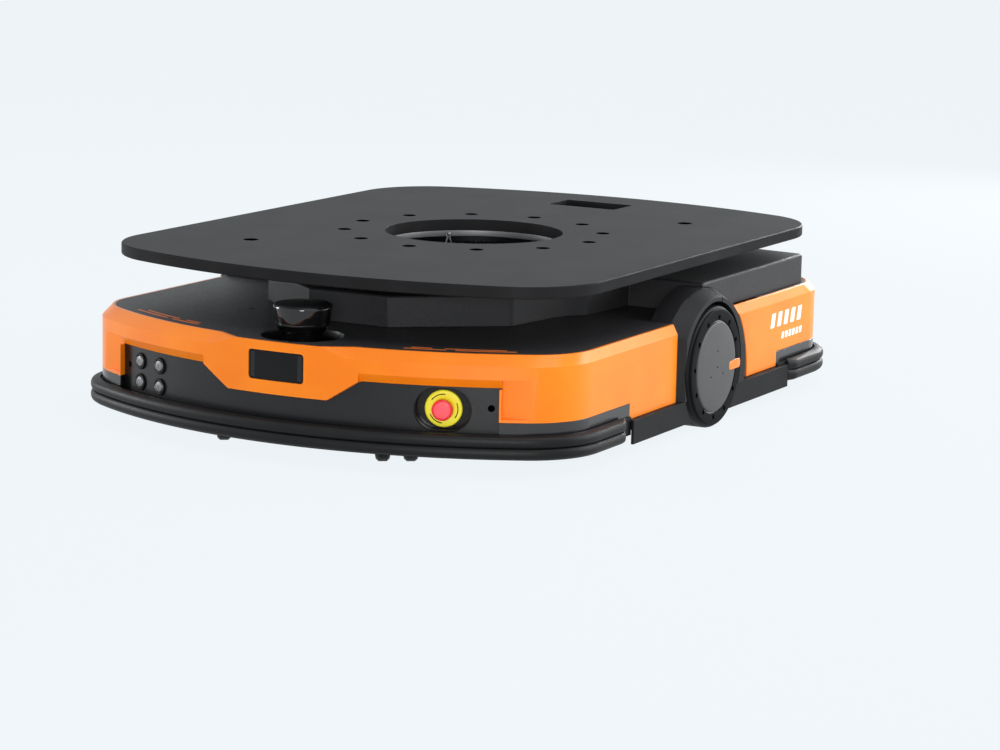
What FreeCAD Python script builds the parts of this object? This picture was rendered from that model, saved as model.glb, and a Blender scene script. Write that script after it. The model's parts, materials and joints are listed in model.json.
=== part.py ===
import FreeCAD, Part
import math
import os

from FreeCAD import Vector

# Autonomous mobile robot with a load platform that lifts and turns.
# Millimetres. X is the width, the front faces -Y, Z is up.
# The origin is on the floor, under the middle of the robot, on the drive axle's line.

# ---------------------------------------------------------------- driving dimensions

# Outline of the bumpers, which every cover follows at its own inset.
overall_width = 820.0
overall_length = 1150.0
end_arc_radius = 692.0
corner_radius = 121.0

# Levels above the floor.
skirt_bottom = 17.5
bumper_bottom = 26.0
tray_bottom = 34.0
tray_rim_top = 52.0
bumper_top = 59.0
trim_top = 74.7
shell_bend = 151.0
deck_top = 165.0
upper_cover_top = 210.0
platform_top = 256.0

# Insets from the bumper outline, and wall thicknesses.
bumper_depth = 14.0
rail_thickness = 6.0
skirt_inset = 8.0
shell_inset = 17.0
shell_wall = 4.0
sheet = 4.0
seam = 0.3
chamfer_side = 7.0
chamfer_end = 19.0

# Drive wheels.
wheel_radius = 90.0
wheel_width = 44.0
rim_radius = 76.0
cap_radius = 67.5
cap_dome = 2.0
ring_thickness = 2.5
ring_radius = 85.0
ring_screw_count = 12
ring_screw_circle = 73.5
ring_screw_radius = 3.2
ring_screw_phase = 26.0
axle_radius = 14.0
running_clearance = 0.05
moving_gap = 0.3

# Wheel arches.
arch_centre_z = 60.0
arch_radius = 144.0
arch_lip_centre_z = 78.0
arch_lip_radius = 114.0
arch_opening_radius = 96.0
arch_inner_inset = 64.0
arch_shoulder_inset = 30.0
arch_lip_inset = 6.0
arch_front_bevel = 9.0
arch_seam_y = 22.0
shell_front_end_y = 104.0
trim_end_setback = 321.0
bumper_end_setback = 292.0
bumper_end_taper = (8.0, 15.0)
skirt_front_setback = 317.0
skirt_rear_setback = 294.0

# Front panel, display, buttons and emergency stop.
panel_end_inset = 101.0
panel_top = 121.0
panel_bevel_height = 12.0
panel_bevel_width = 41.0
panel_slope_out = 125.0
panel_slope_in = 80.0
panel_slope_bottom = 92.0
panel_depth = 10.0
panel_land = 1.5
panel_corner_bottom = 79.0
lobe_half_top = 70.0
lobe_half_bottom = 111.0
display_half_width = 44.5
display_bottom = 110.5
display_top = 152.0
button_column_insets = (40.5, 85.5)
button_rows = (102.0, 72.0)
button_ring_radius = 11.5
button_radius = 8.0
button_travel = 2.5
sensor_hole_inset = 14.0
sensor_hole_z = 92.5
sensor_hole_radius = 4.8
stop_inset = 75.0
stop_z = 88.0
stop_pocket_width = 80.0
stop_pocket_height = 60.0
stop_pocket_depth = 15.0
stop_collar_radius = 26.0
stop_head_radius = 14.5
stop_neck_radius = 11.0
stop_head_back = 5.0
stop_travel = 4.0

# Lidar.
lidar_setback = 88.0
lidar_radius = 41.5
lidar_waist_radius = 38.0
lidar_neck_radius = 31.5
lidar_top = 210.0
lidar_window_bottom = 184.0
lidar_neck_top = 164.0
lidar_pocket_radius = 58.0
lidar_pocket_depth = 11.0

# Upper cover. Its nose narrows forwards from its root beside the opening for the turning ring.
nose_setback = 209.0
nose_front_half = 65.0
nose_wall = 18.0
nose_corner_place = (53.0, 111.0)
nose_flank_inset = 38.0
nose_step_insets = (30.0, 22.0, 10.0)
nose_step_lengths = (6.0, 23.0, 38.0, 50.0)
nose_root_y = 10.0
nose_edge_radius = 12.0
nose_step_radius = 4.0
upper_corner_radius = 8.0
upper_inset = 32.0
upper_rear_setback = 194.0
upper_rear_bulge = 26.0
upper_edge_radius = 4.0
cover_opening_radius = 240.0
rear_deck_front_y = 200.0

# Lifting and turning gear.
lift_travel = 60.0
post_offset = 81.0
post_radius = 12.0
bush_radius = 18.0
carriage_bottom = 186.0
carriage_thickness = 12.0
carriage_radius = 236.0
carriage_hole_radius = 96.0
shaft_y = 45.0
shaft_z = 165.0
shaft_radius = 12.0
lever_x = 165.0
lever_width = 14.0
lever_length = 75.0
lever_tip_radius = 15.0
lever_gap = 0.7
shaft_half_length = 205.0
bearing_width = 16.0
bearing_depth = 40.0
motor_stub = 25.0
lift_motor_radius = 20.0
lift_gear_module = 3.0
lift_gear_width = 16.0
ring_gear_module = 4.0
ring_gear_teeth = 75
pinion_teeth = 15
race_radius = 208.0
race_outer_radius = 234.0
race_height = 24.0
slew_shaft_radius = 8.0
slew_motor_radius = 28.0
slew_motor_length = 66.0
slew_pinion_width = 18.0

# Platform plate.
platform_side_inset = 26.0
platform_end_inset = 71.0
platform_thickness = 17.0
platform_arc_radius = 930.0
platform_corner_radius = 130.0
platform_bore_radius = 134.5
platform_edge = 1.5
bolt_circle_radius = 195.0
bolt_count = 12
bolt_hole_radius = 8.0
bolt_thread_depth = 16.0
pin_hole = (221.0, 277.0)
pin_hole_radius = 9.0
window_half_width = 59.0
window_depth = 68.0
window_end_margin = 81.0

# Battery, controls and drive motors inside the body.
battery_half_width = 200.0
battery_top = 140.0
control_half_width = 170.0
control_top = 130.0
inside_gap = 25.0
drive_motor_radius = 42.0
drive_motor_gap = 12.0
drive_flange = 8.0
frame_post_half = 10.0

# Casters.
caster_control_gap = 4.0
caster_setback = 125.0
caster_radius = 25.0
caster_tread = 14.0
caster_fork_half = 9.0
caster_trail = 20.0
caster_rest_angle = 34.0
caster_well = 56.0
caster_plate_z = 64.0
caster_pin_radius = 4.0
stem_radius = 9.0

# ---------------------------------------------------------------- worked-out sizes

half_width = overall_width / 2
half_length = overall_length / 2
arc_centre_y = end_arc_radius - half_length
arch_inner_x = half_width - arch_inner_inset
arch_shoulder_x = half_width - arch_shoulder_inset
arch_lip_x = half_width - arch_lip_inset
trim_end_y = half_length - trim_end_setback
bumper_end_y = half_length - bumper_end_setback
panel_half_width = half_width - panel_end_inset
button_columns = [inset - panel_half_width for inset in button_column_insets]
sensor_hole_x = panel_half_width - sensor_hole_inset
stop_x = panel_half_width - stop_inset
lidar_y = lidar_setback - half_length
nose_front_y = nose_setback - half_length
nose_root = (cover_opening_radius + nose_wall, nose_root_y)
nose_corner = (nose_root[0] - nose_corner_place[0], nose_front_y + nose_corner_place[1])
nose_steps_y = -arch_radius - 12
nose_flank = (nose_root[0] - nose_flank_inset, nose_steps_y + nose_step_lengths[0])
nose_steps = [
    (nose_root[0] - inset, nose_steps_y + length)
    for inset, length in zip(nose_step_insets, nose_step_lengths[1:])
]
upper_half_width = half_width - upper_inset
upper_rear_y = half_length - upper_rear_setback
platform_half_width = half_width - platform_side_inset
platform_half_length = half_length - platform_end_inset
window_rear_y = platform_half_length - window_end_margin
window_front_y = window_rear_y - window_depth
caster_x = stop_x - stop_pocket_width / 2 - caster_well - sheet - caster_control_gap
caster_y = half_length - caster_setback
bearing_x = shaft_half_length - bearing_width / 2 - 2
tray_top = tray_bottom + sheet
tray_inset = bumper_depth + rail_thickness
rail_top = bumper_top - 3
wheel_outer_x = half_width - cap_dome
tyre_outer_x = wheel_outer_x - ring_thickness
tyre_inner_x = tyre_outer_x - wheel_width
platform_bottom = platform_top - platform_thickness
carriage_top = carriage_bottom + carriage_thickness
panel_radius = end_arc_radius - shell_inset - panel_depth
face_radius = end_arc_radius - shell_inset
reveal_radius = panel_radius + panel_land
shell_top_side = shell_inset + chamfer_side
shell_top_end = shell_inset + chamfer_end
lever_drop = lift_travel / 2
lever_angle = math.degrees(math.asin(lever_drop / lever_length))
lift_gear_teeth = round(2 * shaft_y / lift_gear_module)
lever_reach = shaft_y + lever_length + lever_tip_radius

X_AXIS = Vector(1, 0, 0)
Y_AXIS = Vector(0, 1, 0)
Z_AXIS = Vector(0, 0, 1)
ORIGIN = Vector(0, 0, 0)
FAR = 3000.0

nodes = {}

# ---------------------------------------------------------------- shaping helpers


def box(x0, x1, y0, y1, z0, z1):
    """Block between two corners."""
    return Part.makeBox(x1 - x0, y1 - y0, z1 - z0, Vector(x0, y0, z0))


def rod(radius, start, axis, length):
    """Cylinder from a start point along an axis."""
    return Part.makeCylinder(radius, length, Vector(*start), axis)


def tube(outer, inner, start, axis, length):
    """Cylinder with a bore along its axis."""
    return rod(outer, start, axis, length).cut(rod(inner, start, axis, length))


def prism(points, direction):
    """Closed polygon pushed along a direction."""
    corners = [Vector(*point) for point in points]
    return Part.Face(Part.makePolygon(corners + corners[:1])).extrude(direction)


def turned(points, centre, axis):
    """Closed polygon turned full circle about an axis."""
    corners = [Vector(*point) for point in points]
    face = Part.Face(Part.makePolygon(corners + corners[:1]))
    return face.revolve(Vector(*centre), axis, 360)


def fused(shapes):
    """One solid from several that touch or overlap."""
    return shapes[0].multiFuse(shapes[1:]).removeSplitter()


def mirror_x(shape):
    """The same shape on the other side of the robot."""
    return shape.mirror(ORIGIN, X_AXIS)


def mirror_y(shape):
    """The same shape at the other end of the robot."""
    return shape.mirror(ORIGIN, Y_AXIS)


def arc(a, middle, b):
    """Circular edge through three points."""
    return Part.Arc(Vector(*a), Vector(*middle), Vector(*b)).toShape()


def rounded_outline(half_x, half_y, end_radius, corner, z):
    """Closed outline with straight sides, bowed ends and rounded corners."""
    centre_y = end_radius - half_y
    corner_x = half_x - corner
    reach = end_radius - corner
    corner_y = centre_y - math.sqrt(reach**2 - corner_x**2)
    unit = Vector(corner_x / reach, (corner_y - centre_y) / reach, 0)
    tangent = (unit.x * end_radius, centre_y + unit.y * end_radius)
    half_turn = math.radians(math.degrees(math.atan2(-unit.y, unit.x)) / 2)
    middle = (corner_x + corner * math.cos(half_turn), corner_y - corner * math.sin(half_turn))
    edges = []
    for sx, sy in ((1, 1), (-1, -1)):
        rear = [(half_x, -corner_y), (middle[0], -middle[1]), (tangent[0], -tangent[1])]
        ends = [(sx * x, sy * y, z) for x, y in rear]
        far = [(-x, y, z) for x, y, _ in ends]
        edges.append(Part.LineSegment(Vector(sx * half_x, sy * corner_y, z), Vector(*ends[0])).toShape())
        edges.append(arc(*ends))
        edges.append(arc(ends[2], (0, sy * half_y, z), far[2]))
        edges.append(arc(far[2], far[1], far[0]))
    return Part.Wire(edges)


def plan_outline(side, end, z):
    """Outline of the robot at one inset at the sides and another at the ends."""
    return rounded_outline(half_width - side, half_length - end, end_arc_radius - end, corner_radius - side, z)


def plan_solid(inset, z0, z1):
    """Upright block inside the outline at an inset."""
    return Part.Face(plan_outline(inset, inset, z0)).extrude(Vector(0, 0, z1 - z0))


def plan_taper(low, z0, high, z1):
    """Block whose outline goes straight from one (side, end) inset to another."""
    return Part.makeLoft([plan_outline(*low, z0), plan_outline(*high, z1)], True, True)


def band(outer, inner, z0, z1):
    """Wall between two insets."""
    return plan_solid(outer, z0, z1).cut(plan_solid(inner, z0, z1))


def half_space(point, normal):
    """Large block that fills the side of a plane that its normal points to."""
    block = Part.makeBox(FAR, FAR, FAR, Vector(-FAR / 2, -FAR / 2, 0))
    block.Placement = FreeCAD.Placement(point, FreeCAD.Rotation(Z_AXIS, normal))
    return block


def on_front(shape, x, z, radius):
    """Puts a shape built at the origin, facing -Y, on the bowed front at a given X and height."""
    angle = math.asin(x / radius)
    placed = shape.copy()
    placed.rotate(ORIGIN, Z_AXIS, math.degrees(angle))
    placed.translate(Vector(x, arc_centre_y - radius * math.cos(angle), z))
    return placed


def front_y(x, radius):
    """Y of the bowed front of a given radius at an X."""
    return arc_centre_y - math.sqrt(radius**2 - x**2)


def keep(name, shape):
    """Registers a finished piece."""
    nodes[name] = shape


# ---------------------------------------------------------------- chassis


def caster_places():
    """Name and swivel position of the four casters."""
    for end, sy in (("front", -1), ("rear", 1)):
        for side, sx in (("left", -1), ("right", 1)):
            yield f"{end}_{side}_caster", sx * caster_x, sy * caster_y


def caster_room(x, y, top):
    """Room that a caster takes to swivel full circle, up to a height."""
    return box(x - caster_well, x + caster_well, y - caster_well, y + caster_well, 0, top)


def chassis():
    """Folded tray with bumper rails, caster bridges, posts and drive brackets, welded into one frame."""
    frame = plan_solid(tray_inset, tray_bottom, tray_rim_top)
    frame = frame.cut(plan_solid(tray_inset + sheet, tray_top, tray_rim_top))
    rail = band(bumper_depth, tray_inset, bumper_bottom + 4, rail_top)
    rail = rail.cut(box(-FAR, FAR, -trim_end_y, trim_end_y, 0, 100))
    parts = [frame, rail]
    deck_under = deck_top - sheet
    post_far = half_length - 145
    post_near = arch_radius + 6
    for sx in (-1, 1):
        for y in (-post_far, -post_near, post_near, post_far):
            x = sx * (arch_inner_x - 46)
            across = (x - frame_post_half, x + frame_post_half)
            parts.append(box(*across, y - frame_post_half, y + frame_post_half, tray_bottom, deck_under))
        plate = (sx * (arch_inner_x - 8) - 3, sx * (arch_inner_x - 8) + 3)
        parts.append(box(*plate, -62, 62, tray_bottom, 150))
    for _, x, y in caster_places():
        wide = caster_well + sheet
        bridge = box(x - wide, x + wide, y - wide, y + wide, tray_bottom, caster_plate_z + 4)
        parts.append(bridge.cut(caster_room(x, y, caster_plate_z)))
    frame = fused(parts)
    for _, x, y in caster_places():
        frame = frame.cut(caster_room(x, y, tray_top + 1))
        frame = frame.cut(rod(stem_radius + 3, (x, y, 0), Z_AXIS, 100))
    for sx in (-1, 1):
        well = sorted((sx * (arch_inner_x - 4), sx * FAR))
        frame = frame.cut(box(*well, -shell_front_end_y, shell_front_end_y, 0, 140))
        frame = frame.cut(rod(axle_radius + 10, (sx * (arch_inner_x - 46), 0, wheel_radius), X_AXIS * sx, 60))
    return frame


def bumper():
    """Front rubber extrusion with two round ribs, swept along the front of the outline."""
    middle = (bumper_bottom + bumper_top) / 2
    low = bumper_bottom + 2
    high = bumper_top - 2
    skin = half_width - 4
    back = half_width - bumper_depth
    y = -bumper_end_y
    ribs = [
        Part.LineSegment(Vector(back, y, bumper_bottom), Vector(skin - 2, y, bumper_bottom)).toShape(),
        Part.LineSegment(Vector(skin - 2, y, bumper_bottom), Vector(skin, y, low)).toShape(),
        arc((skin, y, low), (half_width, y, (low + middle) / 2), (skin, y, middle)),
        arc((skin, y, middle), (half_width, y, (high + middle) / 2), (skin, y, high)),
        Part.LineSegment(Vector(skin, y, high), Vector(skin - 4, y, bumper_top)).toShape(),
        Part.LineSegment(Vector(skin - 4, y, bumper_top), Vector(back, y, bumper_top)).toShape(),
        Part.LineSegment(Vector(back, y, bumper_top), Vector(back, y, bumper_bottom)).toShape(),
    ]
    outline = plan_outline(bumper_depth, bumper_depth, bumper_bottom)
    front = Part.makeBox(FAR, FAR, 1, Vector(-FAR / 2, -FAR - bumper_end_y, bumper_bottom - 0.5))
    path = Part.Wire(Part.__sortEdges__(outline.common(front).Edges))
    ordered = path.OrderedEdges
    if path.OrderedVertexes[0].X < 0:
        profile = Part.Wire([edge.mirror(ORIGIN, X_AXIS) for edge in ribs])
    else:
        profile = Part.Wire(ribs)
    swept = Part.Wire(ordered).makePipeShell([profile], True, False)
    across, along = bumper_end_taper
    taper = prism(
        [
            (half_width - across, -bumper_end_y + 1, 0),
            (half_width - across, -bumper_end_y, 0),
            (half_width + 1, -bumper_end_y - along, 0),
            (half_width + 1, -bumper_end_y + 1, 0),
        ],
        Z_AXIS * 100,
    )
    return swept.cut(taper).cut(mirror_x(taper))


def skirts(sx):
    """Two folded side skirts, before and behind the drive wheel, cut round to clear it."""
    outer = half_width - skirt_inset
    inner = half_width - tray_inset
    top = tray_rim_top - seam
    ends = (skirt_front_setback - half_length, half_length - skirt_rear_setback)
    blank = box(inner, outer, *ends, skirt_bottom, top)
    hollow = box(inner - 1, outer - sheet, -FAR, FAR, 0, top - sheet)
    clearance = rod(arch_opening_radius + 1, (inner - 5, 0, wheel_radius), X_AXIS, 60)
    rail_room = box(0, half_width - bumper_depth + seam, trim_end_y - 1, FAR, 0, 100)
    pair = blank.cut(hollow).cut(clearance).cut(rail_room).cut(mirror_y(rail_room))
    return pair if sx > 0 else mirror_x(pair)


def trim(y0, y1):
    """Dark strip that closes the gap between a bumper and the painted shell."""
    strip = band(shell_inset, shell_inset + shell_wall, rail_top, trim_top)
    return strip.common(box(-FAR, FAR, y0, y1, 0, 100))


# ---------------------------------------------------------------- painted shells


def lobe(inset):
    """Raised part of the front shell round the display, upright to the deck where its neighbours slope back."""
    shift = inset - shell_inset
    radius = end_arc_radius - inset
    block = plan_solid(inset, shell_bend, deck_top)
    block = block.common(box(-lobe_half_bottom, lobe_half_bottom, -FAR, -half_length + 90, 0, 200))
    tip = Vector(lobe_half_bottom - shift, front_y(lobe_half_bottom - shift, radius), shell_bend)
    crest = Vector(lobe_half_top - shift, front_y(lobe_half_top - shift, radius), deck_top)
    rear_radius = end_arc_radius - shell_top_end - shift
    heel = Vector(lobe_half_bottom - shift, front_y(lobe_half_bottom - shift, rear_radius), deck_top)
    normal = (crest - tip).cross(heel - tip)
    if normal.x < 0:
        normal = normal.multiply(-1)
    cutter = half_space(tip, normal)
    return block.cut(cutter).cut(mirror_x(cutter))


def hull(inset):
    """Solid outer form of the body at an inset: upright walls, a sloped upper edge and the front lobe."""
    shift = inset - shell_inset
    walls = plan_solid(inset, tray_rim_top, shell_bend)
    top = (shell_top_side + shift, shell_top_end + shift)
    slope = plan_taper((inset, inset), shell_bend, top, deck_top)
    return fused([walls, slope, lobe(inset)])


def panel_outline(top, z0, grow):
    """Front opening for the dark panel: full height at the sides, lower below the display."""
    wide = panel_half_width + grow
    out = panel_slope_out
    low = panel_slope_bottom
    near = panel_slope_in
    left = [(-wide, z0), (-wide, top), (-out, top), (-near, low)]
    return left + [(-x, z) for x, z in reversed(left)]


def panel_cutter():
    """Opening with a bevelled reveal at its top and at its two ends."""
    points = [(x, -half_length - 20, z) for x, z in panel_outline(panel_top, 0, 0)]
    opening = prism(points, Vector(0, front_y(panel_half_width, panel_radius) + half_length + 50, 0))
    outer = face_radius + 1
    start = math.degrees(math.asin(panel_slope_out / face_radius))
    end_x = panel_half_width + panel_bevel_width
    stop = math.degrees(math.asin(end_x / face_radius))
    section = [
        (0, arc_centre_y - reveal_radius, panel_top - 1),
        (0, arc_centre_y - reveal_radius, panel_top),
        (0, arc_centre_y - face_radius, panel_top + panel_bevel_height),
        (0, arc_centre_y - outer, panel_top + panel_bevel_height + 1),
        (0, arc_centre_y - outer, panel_top - 1),
    ]
    corners = [Vector(*point) for point in section]
    face = Part.Face(Part.makePolygon(corners + corners[:1]))
    face.rotate(Vector(0, arc_centre_y, 0), Z_AXIS, start)
    reveal = face.revolve(Vector(0, arc_centre_y, 0), Z_AXIS, stop - start)
    inner_point = Vector(panel_half_width, front_y(panel_half_width, reveal_radius), 0)
    outer_point = Vector(end_x, front_y(end_x, face_radius), 0)
    along = outer_point - inner_point
    outward = Vector(along.y, -along.x, 0).normalize()
    wedge = prism(
        [
            tuple(inner_point + Vector(0, 0, panel_corner_bottom)),
            tuple(outer_point + Vector(0, 0, panel_corner_bottom)),
            tuple(outer_point + outward * 30 + Vector(0, 0, panel_corner_bottom)),
            tuple(inner_point + outward * 30 + Vector(0, 0, panel_corner_bottom)),
        ],
        Vector(0, 0, panel_top + panel_bevel_height - panel_corner_bottom),
    )
    reveal = reveal.cut(half_space(inner_point, outward.negative()))
    side = fused([reveal, wedge])
    return fused([opening, side, mirror_x(side)])


def arch_form(shrink):
    """Solid round arch over the right wheel: a drum that tapers to a smaller, higher lip."""
    inner_x = arch_inner_x + shrink
    drum_circle = Part.Wire(Part.makeCircle(arch_radius - shrink, Vector(arch_shoulder_x - shrink / 2, 0, arch_centre_z), X_AXIS))
    lip_circle = Part.Wire(Part.makeCircle(arch_lip_radius - shrink, Vector(arch_lip_x - shrink, 0, arch_lip_centre_z), X_AXIS))
    drum = rod(arch_radius - shrink, (inner_x, 0, arch_centre_z), X_AXIS, arch_shoulder_x - shrink / 2 - inner_x)
    cone = Part.makeLoft([drum_circle, lip_circle], True, True)
    return fused([drum, cone])


def arch_body(shrink):
    """The arch form ended at the front by an upright wall with a bevelled outer corner."""
    front_y = -shell_front_end_y + seam
    body = arch_form(shrink).common(box(0, FAR, front_y + shrink, FAR, 0, FAR))
    shell_x = half_width - shell_inset
    normal = Vector(arch_front_bevel, shell_x - arch_lip_x, 0).normalize()
    corner = Vector(shell_x, front_y, 0) - normal * shrink
    return body.cut(half_space(corner - Z_AXIS * FAR / 4, normal))


def arch_keepout():
    """Room that both wheel arches take from the shells, deck and cover."""
    drum = rod(arch_radius + seam, (arch_inner_x - seam, 0, arch_centre_z), X_AXIS, 100)
    return drum.fuse(mirror_x(drum))


def fenders():
    """Front and rear halves of the right wheel arch, split by an upright seam."""
    arch = arch_body(0).cut(arch_body(sheet))
    arch = arch.cut(rod(arch_opening_radius, (arch_lip_x - 20, 0, wheel_radius), X_AXIS, 60))
    arch = arch.cut(rod(axle_radius + 4, (arch_inner_x - 5, 0, wheel_radius), X_AXIS, 20))
    arch = arch.common(box(0, FAR, -FAR, FAR, tray_rim_top, FAR))
    front = arch.common(box(0, FAR, -FAR, arch_seam_y, 0, FAR))
    rear = arch.common(box(0, FAR, arch_seam_y + 1.2, FAR, 0, FAR))
    return front, rear


def painted_shell():
    """Whole thin painted shell before it is split into a front and a rear moulding."""
    wall = hull(shell_inset).cut(hull(shell_inset + shell_wall))
    corner_cut = box(-FAR, FAR, -FAR, -trim_end_y, 0, trim_top + seam)
    return wall.cut(corner_cut).cut(mirror_y(corner_cut))


def front_shell(whole):
    """Front moulding with the panel opening, its reveal and the display window."""
    front = whole.common(box(-FAR, FAR, -FAR, -shell_front_end_y, 0, FAR))
    frame = band(shell_inset + shell_wall - 1, shell_inset + panel_depth, trim_top + seam, shell_bend)
    reach = panel_half_width + panel_bevel_width + 6
    frame = frame.common(box(-reach, reach, -FAR, -half_length + 160, 0, FAR))
    front = fused([front, frame]).cut(panel_cutter())
    window = box(-display_half_width, display_half_width, -half_length, -half_length + 60, display_bottom, display_top)
    window = window.makeFillet(5, [edge for edge in window.Edges if abs(edge.tangentAt(edge.FirstParameter).y) > 0.9])
    return front.cut(window)


def rear_shell(whole):
    """Rear moulding, cut round to follow the wheel arches."""
    rear = whole.common(box(-FAR, FAR, arch_seam_y, FAR, 0, FAR))
    rear = rear.cut(arch_keepout())
    solids = sorted(rear.Solids, key=lambda solid: solid.Volume)
    return solids[-1]


# ---------------------------------------------------------------- front panel and controls


def front_panel():
    """Dark bowed panel behind the painted shell, with the holes for the controls."""
    panel = band(shell_inset + panel_depth, shell_inset + panel_depth + sheet, tray_top, panel_top + 14)
    panel = panel.common(box(-panel_half_width - 12, panel_half_width + 12, -FAR, 0, 0, FAR))
    points = [(x, -half_length, z) for x, z in panel_outline(panel_top + 20, panel_slope_bottom, 30)[2:6]]
    above = prism([(-panel_slope_out, -half_length, FAR)] + points + [(panel_slope_out, -half_length, FAR)], Vector(0, 100, 0))
    above.translate(Vector(0, 0, 12))
    panel = panel.cut(above)
    for x in button_columns:
        for z in button_rows:
            hole = rod(button_ring_radius - 2, (0, 30, 0), Y_AXIS * -1, 60)
            panel = panel.cut(on_front(hole, x, z, panel_radius))
    for sx in (-1, 1):
        hole = rod(sensor_hole_radius, (0, 30, 0), Y_AXIS * -1, 60)
        panel = panel.cut(on_front(hole, sx * sensor_hole_x, sensor_hole_z, panel_radius))
    return panel.cut(on_front(stop_oval(60, 0).translated(Vector(0, 30, 0)), stop_x, stop_z, panel_radius))


def stop_oval(depth, grow):
    """Oval block for the emergency stop's pocket, from the origin outwards."""
    radius = stop_pocket_height / 2 + grow
    offset = (stop_pocket_width - stop_pocket_height) / 2
    middle = box(-offset, offset, -depth, 0, -radius, radius)
    ends = [rod(radius, (x, 0, 0), Y_AXIS * -1, depth) for x in (-offset, offset)]
    return fused([middle] + ends)


def push_button_parts():
    """Chrome-domed push buttons and their black rings, in a grid of two columns and two rows."""
    rings = []
    number = 0
    for x in button_columns:
        for z in button_rows:
            number += 1
            flange = tube(button_ring_radius, button_radius + moving_gap, (0, 0, 0), Y_AXIS * -1, 2.5)
            barrel = tube(button_ring_radius - 2.3, button_radius + moving_gap, (0, 22, 0), Y_AXIS * -1, 22)
            end = rod(button_ring_radius - 2.3, (0, 24, 0), Y_AXIS * -1, 2)
            rings.append(on_front(fused([flange, barrel, end]), x, z, panel_radius))
            stem = rod(button_radius, (0, 12, 0), Y_AXIS * -1, 14.5)
            dome = Part.makeSphere(14, Vector(0, 0, 0)).common(rod(button_radius, (0, 0, 0), Y_AXIS * -1, 20))
            dome.translate(Vector(0, -2.5 + math.sqrt(14**2 - button_radius**2), 0))
            keep(f"push_button_{number}", on_front(fused([stem, dome]), x, z, panel_radius))
    keep("button_rings", Part.makeCompound(rings))


def emergency_stop():
    """Pocket, yellow collar and red mushroom head of the emergency stop."""
    floor_y = stop_pocket_depth
    cup = stop_oval(floor_y + sheet, 0).translated(Vector(0, floor_y + sheet, 0))
    cup = cup.cut(stop_oval(floor_y, -2).translated(Vector(0, floor_y, 0)))
    bore = stop_neck_radius + moving_gap
    cup = cup.cut(rod(bore, (0, floor_y + 10, 0), Y_AXIS * -1, 30))
    switch = tube(16, bore, (0, floor_y + sheet + 30, 0), Y_AXIS * -1, 30)
    switch_end = rod(16, (0, floor_y + sheet + 32, 0), Y_AXIS * -1, 2)
    keep("stop_housing", on_front(fused([cup, switch, switch_end]), stop_x, stop_z, panel_radius))
    collar_height = floor_y - stop_head_back - stop_travel - 1
    collar = tube(stop_collar_radius, bore, (0, floor_y, 0), Y_AXIS * -1, collar_height)
    keep("stop_collar", on_front(collar, stop_x, stop_z, panel_radius))
    head = rod(stop_head_radius, (0, stop_head_back, 0), Y_AXIS * -1, 11)
    rim = [edge for edge in head.Edges if edge.BoundBox.YMax < stop_head_back - 10.9]
    head = head.makeFillet(3.5, rim[:1])
    neck = rod(stop_neck_radius, (0, floor_y + 20, 0), Y_AXIS * -1, floor_y + 21 - stop_head_back)
    keep("stop_button", on_front(fused([head, neck]), stop_x, stop_z, panel_radius))


def display_screen():
    """Dark glass of the display, seated in the shell's window."""
    radius = face_radius - 2
    module_top = deck_top - lidar_pocket_depth - sheet - seam
    glass = band(shell_inset + 2, shell_inset + panel_depth, display_bottom + seam, display_top - seam)
    plug = band(shell_inset + 2, shell_inset + panel_depth + 5, display_bottom + seam, module_top)
    window = box(
        -display_half_width + seam, display_half_width - seam,
        -half_length, -half_length + 60,
        display_bottom + seam, display_top - seam,
    )
    window = window.makeFillet(4.7, [edge for edge in window.Edges if abs(edge.tangentAt(edge.FirstParameter).y) > 0.9])
    module = box(
        -display_half_width - 6, display_half_width + 6,
        front_y(display_half_width + 6, radius - panel_depth), front_y(0, radius) + 26,
        display_bottom - 6, module_top,
    )
    return fused([glass.common(window), plug.common(window), module])


# ---------------------------------------------------------------- deck, upper cover and lidar


def upper_outline(inset, z):
    """Outline of the upper cover: faceted nose, stepped flanks, full-width rear part with a bowed end."""
    right = [(nose_front_half - inset * 0.3, nose_front_y + inset), (nose_corner[0] - inset, nose_corner[1] + inset * 0.6)]
    for x, y in [nose_flank] + nose_steps:
        right.append((x - inset, y))
    right.append((nose_root[0] - inset, nose_root[1] + inset))
    right.append((upper_half_width - inset, nose_root[1] + inset))
    right.append((upper_half_width - inset, upper_rear_y - inset))
    left = [(-x, y) for x, y in reversed(right)]
    points = [Vector(x, y, z) for x, y in left + right]
    edges = [Part.LineSegment(a, b).toShape() for a, b in zip(points, points[1:])]
    edges.append(arc(points[-1], (0, upper_rear_y + upper_rear_bulge - inset, z), points[0]))
    return Part.Wire(edges)


def upper_block(inset, z0, z1):
    """Solid inside the upper cover's outline at an inset."""
    return Part.Face(upper_outline(inset, z0)).extrude(Vector(0, 0, z1 - z0))


def rounded_upright(solid, radius, places):
    """Fillets the upright edges that stand at given places."""
    chosen = []
    for edge in solid.Edges:
        upright = abs(edge.tangentAt(edge.FirstParameter).z) > 0.99
        point = edge.CenterOfMass
        if upright and any(abs(abs(point.x) - x) < 1 and abs(point.y - y) < 1 for x, y in places):
            chosen.append(edge)
    return solid.makeFillet(radius, chosen)


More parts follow.
